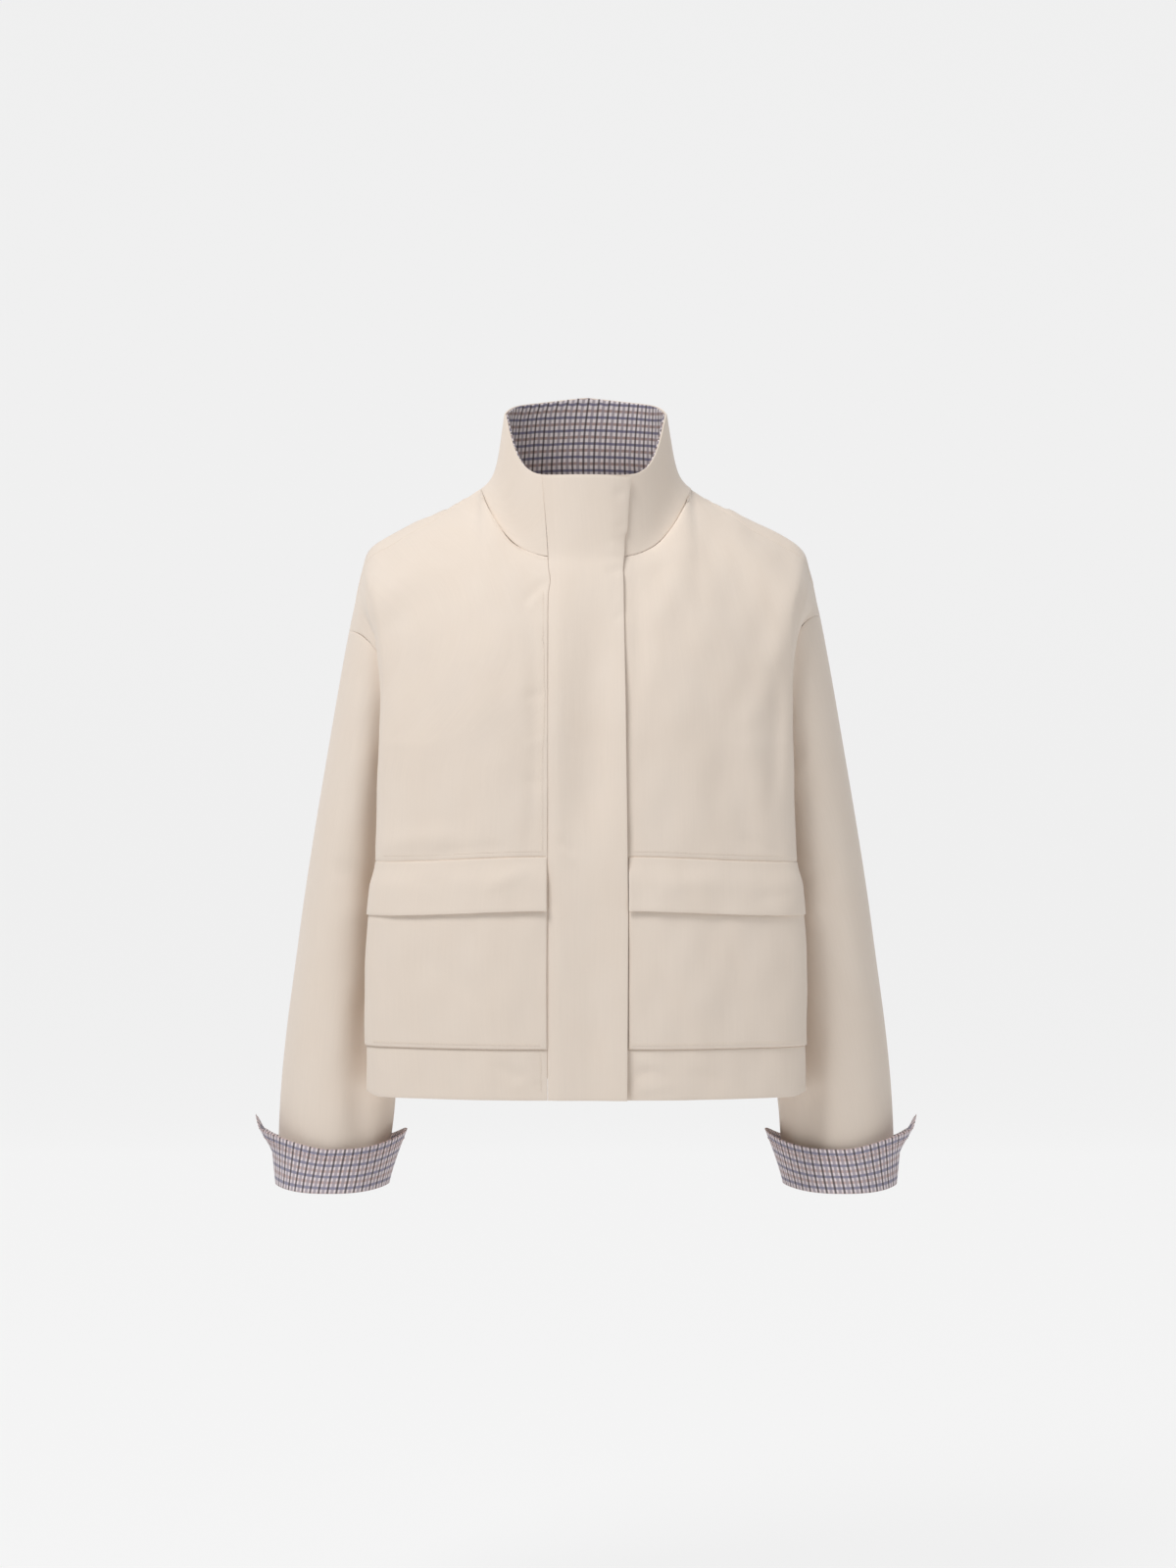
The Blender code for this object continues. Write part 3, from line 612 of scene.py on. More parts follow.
def spline_weights(knots, at):
    """Weights of a smooth curve through values at the knots: one weight for each knot."""
    knots = np.asarray(knots, float)
    at = np.asarray(at, float)
    count = len(knots)
    steps = np.diff(knots)
    slopes = np.zeros((count - 1, count))
    for i in range(count - 1):
        slopes[i, i] = -1.0 / steps[i]
        slopes[i, i + 1] = 1.0 / steps[i]
    tangents = np.zeros((count, count))
    tangents[0] = slopes[0]
    tangents[-1] = slopes[-1]
    for i in range(1, count - 1):
        share = steps[i - 1] / (steps[i - 1] + steps[i])
        tangents[i] = (1.0 - share) * slopes[i - 1] + share * slopes[i]
    span = np.clip(np.searchsorted(knots, at, side="right") - 1, 0, count - 2)
    width = steps[span]
    s = (at - knots[span]) / width
    values = np.eye(count)
    start = (2.0 * s**3 - 3.0 * s**2 + 1.0)[..., None] * values[span]
    end = (3.0 * s**2 - 2.0 * s**3)[..., None] * values[span + 1]
    leave = ((s**3 - 2.0 * s**2 + s) * width)[..., None] * tangents[span]
    arrive = ((s**3 - s**2) * width)[..., None] * tangents[span + 1]
    return start + end + leave + arrive


def through(table, at):
    """The columns after the first, read smoothly at places along the first column."""
    rows = sorted(table)
    knots = [row[0] for row in rows]
    values = np.array([row[1:] for row in rows], float)
    return spline_weights(knots, at) @ values


def ease(value):
    """From 0 to 1, starting and ending gently."""
    s = np.clip(value, 0.0, 1.0)
    return s * s * (3.0 - 2.0 * s)


def beyond(share, start):
    """From 0 where the share reaches the start to 1 at the end of its way."""
    return ease((share - start) / (1.0 - start))


def points(x, y, z):
    """Coordinates that may be plain numbers or arrays, as one array of points."""
    return np.stack(np.broadcast_arrays(x, y, z), axis=-1).astype(float)


# --- the garment's surfaces ----------------------------------------------------------------------


def sleeve_surface(turn, z):
    """A point on the sleeve: turn 0 is outermost, a quarter turn is in front, half is at the body."""
    section = through(SLEEVE_SECTIONS, z)
    centre_x, centre_y, half_width, half_depth = np.moveaxis(section, -1, 0)
    x = centre_x + half_width * np.cos(turn)
    y = centre_y - half_depth * np.sin(turn)
    return points(x, y, z)


def sleeve_end_z(turn):
    """The sleeve's lower end, a little higher at its two sides."""
    return SLEEVE_END_Z + SLEEVE_END_RISE * np.abs(np.cos(turn)) ** 3


def armhole_z(turn, side):
    """The height of the armhole seam, from its top outermost to the underarm beside the body."""
    top = ARMHOLE_TOP_Z[side]
    share = (0.5 - 0.5 * np.cos(turn)) ** ARMHOLE_BEND
    return top + (UNDERARM_Z - top) * share


def armhole(turn, side):
    """The armhole seam on the sleeve's own surface."""
    return sleeve_surface(turn, armhole_z(turn, side))


def neck_seam(angle):
    """The neck seam: angle 0 is the centre front, a quarter turn the shoulder, half the centre back."""
    across = np.abs(np.sin(angle))
    front = np.cos(angle) > 0.0
    y = np.where(front, -NECK_FRONT_Y, NECK_BACK_Y) * -np.cos(angle)
    front_z = NECK_FRONT_Z * (1.0 - across**NECK_FRONT_LATE)
    back_z = NECK_BACK_Z * (1.0 - across**NECK_BACK_LATE)
    return points(NECK_HALF_WIDTH * np.sin(angle), y, np.where(front, front_z, back_z))


def collar_top(angle):
    """The collar's top edge, round the same way as the neck seam."""
    across = np.abs(np.sin(angle))
    front = np.cos(angle) > 0.0
    climb = across**COLLAR_FRONT_LATE
    front_z = COLLAR_TOP_FRONT_Z + (COLLAR_TOP_SIDE_Z - COLLAR_TOP_FRONT_Z) * climb
    steep = (1.0 - COLLAR_BACK_GENTLE) * across**COLLAR_BACK_STEEP_LATE
    fall = COLLAR_BACK_GENTLE * across**COLLAR_BACK_GENTLE_LATE + steep
    back_z = COLLAR_TOP_BACK_Z + (COLLAR_TOP_SIDE_Z - COLLAR_TOP_BACK_Z) * fall
    x = COLLAR_TOP_HALF_WIDTH * np.sin(angle)
    y = COLLAR_TOP_CENTRE_Y - COLLAR_TOP_HALF_DEPTH * np.cos(angle)
    return points(x, y, np.where(front, front_z, back_z))


def collar_surface(angle, height):
    """Height runs from 0 at the neck seam to 1 at the top edge; the sides spread at the base."""
    bottom = neck_seam(angle)
    top = collar_top(angle)
    spread = ease(np.sin(angle) ** 2 + COLLAR_FLARE_BACK * (np.cos(angle) < 0.0))
    straight = 1.0 - height
    flared = COLLAR_FLARE * np.exp(-height / COLLAR_FLARE_HEIGHT) + (1.0 - COLLAR_FLARE) * straight
    base = straight + spread * (flared - straight)
    plan = bottom[..., :2] * base[..., None] + top[..., :2] * (1.0 - base[..., None])
    z = bottom[..., 2] * straight + top[..., 2] * height
    lean = COLLAR_LEAN * height**COLLAR_LEAN_LATE * np.maximum(np.cos(angle), 0.0)
    return points(plan[..., 0], plan[..., 1] - lean, z)


def bulge(rise, bottom, top, fullness, reach):
    """A column from the underarm section up to the neck or shoulder, upright at its foot."""
    lift = np.sin(math.asin(reach) * rise**ROW_PACE)
    forward = 1.0 - (1.0 - np.clip(lift, 0.0, 1.0) ** fullness) ** (1.0 / fullness)
    forward_end = 1.0 - max(1.0 - reach**fullness, 0.0) ** (1.0 / fullness)
    x = bottom[0] + (top[0] - bottom[0]) * lift / reach
    y = bottom[1] + (top[1] - bottom[1]) * forward / forward_end
    z = bottom[2] + (top[2] - bottom[2]) * lift / reach
    return points(x, y, z)


def lower_guides(z, face):
    """Centre, breast, fold and nest of the body at a height below the underarm."""
    sections = FRONT_SECTIONS if face == "front" else BACK_SECTIONS
    toward = 1.0 if face == "front" else -1.0
    centre_y, breast_y, fold_x, fold_y = np.moveaxis(through(sections, z), -1, 0)
    arm_x, arm_y, arm_width, arm_depth = np.moveaxis(through(SLEEVE_SECTIONS, z), -1, 0)
    clear = LAY_GAP + ARM_CLEARANCE * ease((UNDERARM_Z - z) / ARM_CLEARANCE_RUN)
    nest = []
    for _, degrees in NEST:
        turn = math.radians(degrees)
        off = clear + NEST_EASE * ease((180.0 - degrees) / NEST_EASE_TURN)
        beside = arm_x + (arm_width + off) * math.cos(turn)
        nest.append(points(beside, arm_y - toward * (arm_depth + off) * math.sin(turn), z))
    centre = points(0.0, centre_y, z)
    breast = points(BREAST_X, breast_y, z)
    return [centre, breast, points(fold_x, fold_y, z), *nest]


def top_line(share, face):
    """The body's upper edge: along the neck seam to the shoulder, then out along the shoulder line."""
    angle = 0.5 * math.pi * np.clip(share / BREAST, 0.0, 1.0)
    neck = neck_seam(angle if face == "front" else math.pi - angle)
    ridge = through(SHOULDER_LINE, np.clip(share, BREAST, 1.0))
    out = np.clip((share - BREAST) / (FOLD - BREAST), 0.0, 1.0)
    back_in = np.clip((share - CREASE) / (1.0 - CREASE), 0.0, 1.0)
    y = SHOULDER_Y * ease(out) + (ARMHOLE_TOP_Y - SHOULDER_Y) * ease(back_in)
    line = points(ridge[..., 0], y, ridge[..., 1])
    return np.where((share < BREAST)[..., None], neck, line)


def upper_guides(rise, face, side):
    """The same columns above the underarm, up to the neck and the shoulder line."""
    foot = lower_guides(np.array(UNDERARM_Z), face)
    ends = [top_line(np.array(share), face) for share in (0.0, BREAST, FOLD, CREASE)]
    toward = 1.0 if face == "front" else -1.0
    centre = bulge(rise, foot[0], ends[0], CENTRE_FULLNESS, CENTRE_REACH[face])
    breast = bulge(rise, foot[1], ends[1], BREAST_FULLNESS, BREAST_REACH)
    cap = FRONT_CAP if face == "front" else BACK_CAP
    low = (0.0, *foot[2], *foot[3])
    high = (1.0, *ends[2], *ends[3])
    columns = through((low, *cap, high), rise)
    seam = armhole(toward * math.pi * (1.0 - rise), side)
    keep_off = LAY_GAP * np.stack([-np.ones_like(rise), 0.0 * rise, 0.0 * rise], axis=-1)
    seam = seam + keep_off * (1.0 - ease(rise / ARMHOLE_GAP_FADE))[..., None]
    crease = columns[..., 3:]
    hollow = (1.0 - ease(rise / NEST_FADE))[..., None]
    nest = [crease]
    for (share, _), start in zip(NEST[1:-1], foot[4:-1]):
        across = (share - CREASE) / (1.0 - CREASE)
        straight = foot[3] * (1.0 - across) + foot[-1] * across
        nest.append(crease * (1.0 - across) + seam * across + (start - straight) * hollow)
    return [centre, breast, columns[..., :3], *nest, seam]


def body_surface(share, level, face, side):
    """A point on the body.

    Share is 0 at the centre line and 1 at the side seam or armhole, and below 0 it crosses to the
    other half.  Level is 0 at the hem, 1 at the underarm and 2 at the neck and shoulder line.
    """
    share, level = np.broadcast_arrays(np.asarray(share, float), np.asarray(level, float))
    other_half = share < 0.0
    share = np.abs(share)
    z = HEM_Z + (UNDERARM_Z - HEM_Z) * np.clip(level, 0.0, 1.0)
    rise = np.clip(level - 1.0, 0.0, 1.0)
    lower = lower_guides(z, face)
    upper = upper_guides(rise, face, side)
    high = (level > 1.0)[..., None]
    columns = [np.where(high, up, low) for low, up in zip(lower, upper)]
    mirrored = columns[1] * np.array([-1.0, 1.0, 1.0])
    guides = np.stack([mirrored, *columns], axis=-2)
    knots = (-BREAST, 0.0, BREAST, FOLD, *(share for share, _ in NEST))
    form = (spline_weights(knots, share)[..., None] * guides).sum(axis=-2)
    tops = [top_line(np.array(knot), face) for knot in knots[1:-1]]
    tops.append(armhole(np.array(0.0), side))
    top_guides = np.stack([tops[1] * np.array([-1.0, 1.0, 1.0]), *tops], axis=0)
    plain_top = spline_weights(knots, share) @ top_guides
    shape = top_line(share, face)
    shape = shape + (armhole(np.array(0.0), side) - top_line(np.array(1.0), face)) * (
        ease((share - FOLD) / (1.0 - FOLD))[..., None]
    )
    form = form + (shape - plain_top) * (rise**SHOULDER_LINE_LATE)[..., None]
    form[..., 0] = np.where(other_half, -form[..., 0], form[..., 0])
    return form


def share_at_x(x, level, face, side):
    """Where a column must stand, at each level, to lie a given distance from the centre line."""
    trial = np.linspace(-BREAST, BREAST, TRIAL_COLUMNS)
    rows = body_surface(trial[None, :], np.asarray(level)[:, None], face, side)
    targets = np.broadcast_to(x, np.shape(level))
    return np.array([np.interp(target, row[:, 0], trial) for target, row in zip(targets, rows)])


def level_of(z):
    """The level of a height below the underarm."""
    return (z - HEM_Z) / (UNDERARM_Z - HEM_Z)


# --- grids of points -----------------------------------------------------------------------------


def normals(grid):
    """The outward direction at each point of a grid whose columns run to the right seen from outside."""
    along = np.gradient(grid, axis=1)
    up = np.gradient(grid, axis=0)
    facing = np.cross(along, up)
    return facing / np.maximum(np.linalg.norm(facing, axis=-1, keepdims=True), TINY)


def moved_out(grid, distance):
    """The same surface, further out."""
    return grid + normals(grid) * distance


def mirrored(grid, side):
    """The same piece on the wearer's right: the points change side and keep facing out."""
    if side == "left":
        return grid
    return grid[:, ::-1] * np.array([-1.0, 1.0, 1.0])


def divided(knots, sizes):
    """Places from one knot to the next, each stretch divided into steps of about one cloth step."""
    places = [knots[0]]
    for start, end, size in zip(knots[:-1], knots[1:], sizes):
        count = max(1, round(size / CLOTH_STEP))
        places.extend(start + (end - start) * np.arange(1, count + 1) / count)
    return np.array(places)


def crease_field(across, along, creases):
    """How far the cloth stands out at each place, from the table of creases."""
    out = np.zeros(np.broadcast(across, along).shape)
    for start_x, start_z, end_x, end_z, width, height in creases:
        run_x = end_x - start_x
        run_z = end_z - start_z
        length = math.hypot(run_x, run_z)
        share = ((across - start_x) * run_x + (along - start_z) * run_z) / length**2
        aside = ((across - start_x) * run_z - (along - start_z) * run_x) / length
        bend = CREASE_BOW * length * (np.clip(share, 0.0, 1.0) - 0.5) ** 2
        end_fade = ease((share + CREASE_PAST_END) / CREASE_FADE)
        end_fade = end_fade * ease((1.0 + CREASE_PAST_END - share) / CREASE_FADE)
        out = out + height * np.exp(-(((aside - bend) / width) ** 2)) * end_fade
    return out


def slack(across, along, seed):
    """Small soft unevenness of cloth that hangs, less than a millimetre."""
    out = 0.0
    for run_x, run_z, height, phase in SLACK_WAVES:
        turn = 2.0 * math.pi * (across / run_x + along / run_z) + phase + SLACK_TURN * seed
        out = out + height * np.sin(turn)
    return out


def fold_step(x, z, side):
    """How far the cloth lies back outside the fold beside the armhole: nothing inside it."""
    line = np.array(ARMHOLE_FOLD[side])
    outside = np.abs(x) - np.interp(z, line[:, 0], line[:, 1])
    low, high = line[0, 0], line[-1, 0]
    there = ease((z - low) / FOLD_STEP_START) * ease((high - z) / FOLD_STEP_STOP)
    step = ease(outside / FOLD_STEP_WIDTH) * np.exp(-np.maximum(outside, 0.0) / FOLD_STEP_RUN)
    return FOLD_STEP * step * there


def stepped_back(grid):
    """Sets the front's cloth, and the sleeve's head below it, back outside the fold."""
    x, z = grid[..., 0], grid[..., 2]
    step = np.where(x > 0.0, fold_step(x, z, "left"), fold_step(x, z, "right"))
    grid = grid.copy()
    grid[..., 1] += step * ease((FRONT_TO_Y - grid[..., 1]) / FRONT_TO_RUN)
    return grid


def front_creases(grid, share=1.0):
    """How far the front's cloth stands out, with a share of its small creases."""
    x, z = grid[..., 0], grid[..., 2]
    out = share * (crease_field(x, z, FRONT_CREASES) + slack(x, z, FRONT_SEED))
    return out + crease_field(x, z, [PLACKET_HOLLOW])


def tucked(grid):
    """Moves the cloth beside the placket's sewn edge a little where the tuck pulls."""
    x, z = grid[..., 0], grid[..., 2]
    pull = np.exp(-(((z - TUCK_Z) / TUCK_HEIGHT) ** 2))
    pull = pull * np.exp(-((x - PLACKET_LEFT) ** 2) / TUCK_REACH_SQUARED)
    grid = grid.copy()
    grid[..., 0] += TUCK_SHIFT * pull
    return grid


def flap_seam(grid):
    """A narrow groove across the front where the flaps are sewn in."""
    x, z = grid[..., 0], grid[..., 2]
    depth = FLAP_SEAM_DEPTH * np.exp(-(((z - FLAP_TOP_Z) / FLAP_SEAM_WIDTH) ** 2))
    return grid - normals(grid) * (depth * (np.abs(x) > PLACKET_RIGHT - POCKET_MARGIN))[..., None]


def sagged(grid):
    """Lets the flaps, and the cloth round them, drop a little toward the sides."""
    x, z = np.abs(grid[..., 0]), grid[..., 2]
    near = np.exp(-(((z - FLAP_SAG_Z) / FLAP_SAG_REACH) ** 2))
    grid = grid.copy()
    grid[..., 2] -= FLAP_SAG * ease((x - FLAP_SAG_FROM_X) / FLAP_SAG_RUN) * near
    return grid


def creased_front(grid, extra=()):
    """The front's cloth with its creases: the same for every piece that lies on it."""
    x, z = grid[..., 0], grid[..., 2]
    share = PLACKET_SHARE_OF_CREASES if extra else 1.0
    out = front_creases(grid, share) + crease_field(x, z, extra)
    return stepped_back(grid + normals(grid) * out[..., None])


def creased_back(grid):
    """The back's cloth with its creases, which change to the front's where it comes over the shoulder."""
    x, z = grid[..., 0], grid[..., 2]
    fade = ease((grid[..., 1] - FRONT_TO_Y) / BACK_FROM_RUN)
    out = (crease_field(x, z, BACK_CREASES) + slack(x, z, BACK_SEED)) * fade
    front = front_creases(grid) * (1.0 - fade)
    return stepped_back(grid + normals(grid) * (out + front)[..., None])


def rolled(grid, edges, depth=ROLL_DEPTH):
    """Turns the cloth in at its seams: each named edge gets a narrow strip that goes down into the seam."""
    facing = normals(grid)
    for edge in edges:
        step = -1 if edge in ("top", "end") else 1
        sideways = edge in ("start", "end")
        if sideways:
            grid, facing = grid.swapaxes(0, 1), facing.swapaxes(0, 1)
        grid, facing = grid[::step], facing[::step]
        inward = grid[1] - grid[0]
        inward = inward / np.maximum(np.linalg.norm(inward, axis=-1, keepdims=True), TINY)
        shoulder = grid[0] + inward * ROLL_WIDTH
        middle = grid[0] + inward * ROLL_WIDTH * ROLL_MIDDLE_WIDTH - facing[0] * depth * ROLL_MIDDLE_DEPTH
        last = grid[0] - facing[0] * depth
        grid = np.concatenate([last[None], middle[None], shoulder[None], grid[1:]])[::step]
        facing = np.concatenate([facing[:1], facing[:1], facing])[::step]
        if sideways:
            grid, facing = grid.swapaxes(0, 1), facing.swapaxes(0, 1)
    return grid


# --- materials -----------------------------------------------------------------------------------


def linear(text):
    """A colour from its sRGB hex digits, made linear."""
    parts = [int(text[i : i + 2], 16) / 255.0 for i in (0, 2, 4)]
    return (*(c / 12.92 if c <= 0.04045 else ((c + 0.055) / 1.055) ** 2.4 for c in parts), 1.0)


def join(tree, node, **links):
    """Links a node's named or numbered inputs to sockets, or gives them values."""
    for key, value in links.items():
        name = key.replace("_", " ")
        socket = node.inputs[int(name[1:])] if name[0] == "i" and name[1:].isdigit() else node.inputs[name]
        if isinstance(value, bpy.types.NodeSocket):
            tree.links.new(value, socket)
        else:
            socket.default_value = value
    return node


def add(tree, kind, settings=None, **links):
    """Adds a shader node with its settings and its inputs."""
    node = tree.nodes.new(kind)
    for key, value in (settings or {}).items():
        setattr(node, key, value)
    return join(tree, node, **links)


def maths(tree, operation, first, second=0.0):
    """One step of arithmetic, as a socket."""
    return add(tree, "ShaderNodeMath", {"operation": operation}, i0=first, i1=second).outputs[0]


def new_material(name, colour):
    """A material that isn't metal, with its node tree and its shader."""
    made = bpy.data.materials.new(name)
    made.use_nodes = True
    made.diffuse_color = colour
    tree = made.node_tree
    shader = tree.nodes["Principled BSDF"]
    shader.inputs["Metallic"].default_value = 0.0
    return made, tree, shader


def cloth_coordinates(tree):
    """The cloth's own flat coordinates in millimetres, across and along."""
    uv = add(tree, "ShaderNodeUVMap", {"uv_map": "cloth"})
    split = add(tree, "ShaderNodeSeparateXYZ", Vector=uv.outputs[0])
    across = maths(tree, "MULTIPLY", split.outputs[0], 1.0 / MM)
    along = maths(tree, "MULTIPLY", split.outputs[1], 1.0 / MM)
    return across, along


def weave_height(tree, across, along, pitch):
    """The bumps of a plain weave: warp and weft threads pass over one another."""
    warp = maths(tree, "SINE", maths(tree, "MULTIPLY", across, 2.0 * math.pi / pitch))
    weft = maths(tree, "SINE", maths(tree, "MULTIPLY", along, 2.0 * math.pi / pitch))
    return maths(tree, "MULTIPLY", warp, weft)


def noise_at(tree, across, along, wide, long, detail=2.0):
    """Soft noise whose spots are so many millimetres wide and long."""
    spot = add(
        tree,
        "ShaderNodeCombineXYZ",
        X=maths(tree, "DIVIDE", across, wide),
        Y=maths(tree, "DIVIDE", along, long),
    )
    made = add(tree, "ShaderNodeTexNoise", Vector=spot.outputs[0], Scale=1.0, Detail=detail)
    return made.outputs[0]


def blended(tree, amount, first, second, kind="MIX"):
    """The first colour with so much of the second in it."""
    settings = {"data_type": "RGBA", "blend_type": kind}
    return add(tree, "ShaderNodeMix", settings, i0=amount, i6=first, i7=second).outputs[2]


def relief(tree, across, along, sizes):
    """The fine bumps of the weave under soft larger ones, as the way the surface faces."""
    weave = weave_height(tree, across, along, sizes["pitch"])
    thread = add(tree, "ShaderNodeBump", Height=weave, Strength=sizes["weave"], Distance=WEAVE_DEPTH)
    soft = noise_at(tree, across, along, *sizes["spot"], 3.0)
    uneven = add(tree, "ShaderNodeBump", Height=soft, Strength=sizes["soft"], Distance=sizes["depth"])
    return join(tree, uneven, Normal=thread.outputs[0]).outputs[0]


def cream_cotton():
    """Light beige cotton, tightly woven and matt, with slight slubs in the warp.

    To the eye it is warm, soft and without shine: broad faint clouds of tone, fine upright streaks, and
    a pale bloom where the cloth turns away.
    """
    made, tree, shader = new_material("cream cotton, matt plain weave", linear(CREAM_HEX))
    across, along = cloth_coordinates(tree)
    cloud = noise_at(tree, across, along, 42.0, 60.0)
    slub = noise_at(tree, across, along, 1.6, 55.0, 3.0)
    tone = blended(tree, cloud, linear(CREAM_HEX), linear(CREAM_WARM_HEX))
    shade = maths(tree, "ADD", maths(tree, "MULTIPLY", slub, 0.05), 0.975)
    shade_colour = add(tree, "ShaderNodeCombineColor", Red=shade, Green=shade, Blue=shade)
    tone = blended(tree, 1.0, tone, shade_colour.outputs[0], "MULTIPLY")
    rough = add(tree, "ShaderNodeMapRange", Value=cloud, To_Min=0.66, To_Max=0.78)
    join(tree, shader, Base_Color=tone, Roughness=rough.outputs[0], Specular_IOR_Level=0.3)
    join(tree, shader, Sheen_Weight=0.25, Sheen_Roughness=0.5)
    join(tree, shader, Normal=relief(tree, across, along, CREAM_RELIEF))
    return made


def stripe(tree, place, pitch, offset, half_width):
    """1 on a line that comes back once a pitch, 0 between, with soft edges, all in millimetres."""
    moved = maths(tree, "ADD", place, -offset + 1000.0 * pitch)
    phase = maths(tree, "FRACT", maths(tree, "DIVIDE", moved, pitch))
    away = maths(tree, "ABSOLUTE", maths(tree, "SUBTRACT", phase, 0.5))
    from_line = maths(tree, "MULTIPLY", maths(tree, "SUBTRACT", 0.5, away), pitch)
    soft = add(tree, "ShaderNodeMapRange", {"interpolation_type": "SMOOTHSTEP"}, Value=from_line)
    join(tree, soft, From_Min=half_width - CHECK_SOFT_EDGE, From_Max=half_width + CHECK_SOFT_EDGE)
    return join(tree, soft, To_Min=1.0, To_Max=0.0).outputs[0]


def check_cotton(name, check, colours):
    """Small windowpane check on pinkish white cotton, dark and mauve lines by navy and rust ones.

    To the eye it is a lively small pattern with soft, slightly wandering lines on dull cotton, which
    sets the lining and the turned-back cuffs off from the plain cloth.
    """
    made, tree, shader = new_material(name, linear(colours["ground"]))
    across, along = cloth_coordinates(tree)
    wander = noise_at(tree, across, along, CHECK_WANDER_SPOT, CHECK_WANDER_SPOT)
    wander = maths(tree, "MULTIPLY", maths(tree, "SUBTRACT", wander, 0.5), CHECK_WANDER)
    leaned = maths(tree, "ADD", across, maths(tree, "MULTIPLY", along, check["lean"]))
    places = (maths(tree, "ADD", leaned, wander), maths(tree, "ADD", along, wander))
    ways = dict(zip(("across", "along"), zip(places, check["repeat"], check["start"])))
    colour = linear(colours["ground"])
    for way, share, half_width, hue, strength in CHECK_LINES:
        place, pitch, start = ways[way]
        line = stripe(tree, place, pitch, start + share * pitch, half_width)
        mask = maths(tree, "MULTIPLY", line, strength)
        colour = blended(tree, mask, colour, linear(colours[hue]))
    join(tree, shader, Base_Color=colour, Roughness=0.8, Sheen_Weight=0.15, Specular_IOR_Level=0.25)
    join(tree, shader, Normal=relief(tree, across, along, CHECK_RELIEF))
    return made


def thread_cotton(name, first, second):
    """Sewing thread with its twist, in two near tones: to the eye, fine raised dashes with a faint sheen."""
    made, tree, shader = new_material(name, linear(first))
    place = add(tree, "ShaderNodeTexCoord").outputs["Object"]
    twist = add(tree, "ShaderNodeTexWave", Vector=place, Scale=1800.0, Distortion=0.5)
    bump = add(tree, "ShaderNodeBump", Height=twist.outputs["Fac"], Strength=0.2, Distance=0.0001)
    tint = blended(tree, twist.outputs["Fac"], linear(first), linear(second))
    join(tree, shader, Base_Color=tint, Roughness=0.6, Normal=bump.outputs[0])
    return made


CREAM = cream_cotton()
# The collar lining's copy of the check has darker colours: painted shade inside the collar
COLLAR_SHADED_CHECK = check_cotton("check cotton lining of the collar", LINING_REPEAT, COLLAR_LINING_SHADED_COLOURS)
CUFF_CHECK = check_cotton("check cotton lining, turned back", CUFF_REPEAT, CUFF_COLOURS)
THREAD = thread_cotton("cream cotton thread, twisted", THREAD_HEX, CREAM_HEX)
ROSE_THREAD = thread_cotton("rose cotton thread, twisted", ROSE_THREAD_HEX, CUFF_COLOURS["rust"])


# --- cloth ---------------------------------------------------------------------------------------


def placed(name, data):
    """An object in the scene, made of a mesh, a light or a camera."""
    piece = bpy.data.objects.new(name, data)
    bpy.context.scene.collection.objects.link(piece)
    return piece


def spread_out(grid):
    """A shape with a corner at each point of a grid in millimetres."""
    rows, columns = grid.shape[:2]
    shape = bmesh.new()
    bmesh.ops.create_grid(shape, x_segments=columns - 1, y_segments=rows - 1, size=1.0)
    shape.verts.ensure_lookup_table()
    for vertex, place in zip(shape.verts, grid.reshape(-1, 3)):
        vertex.co = place * MM
    return shape


def meshed(name, shape):
    """The finished shape as a smooth mesh."""
    for face in shape.faces:
        face.smooth = True
    mesh = bpy.data.meshes.new(name)
    shape.to_mesh(mesh)
    shape.free()
    return mesh


def flat_coordinates(grid, centre_column):
    """Distances over the cloth, across from one column and along from the bottom row."""
    across_steps = np.linalg.norm(np.diff(grid, axis=1), axis=-1)
    across = np.concatenate([np.zeros((len(grid), 1)), np.cumsum(across_steps, axis=1)], axis=1)
    across = across - across[:, centre_column][:, None]
    along_steps = np.linalg.norm(np.diff(grid, axis=0), axis=-1)
    along = np.concatenate([np.zeros((1, grid.shape[1])), np.cumsum(along_steps, axis=0)], axis=0)
    return across, along


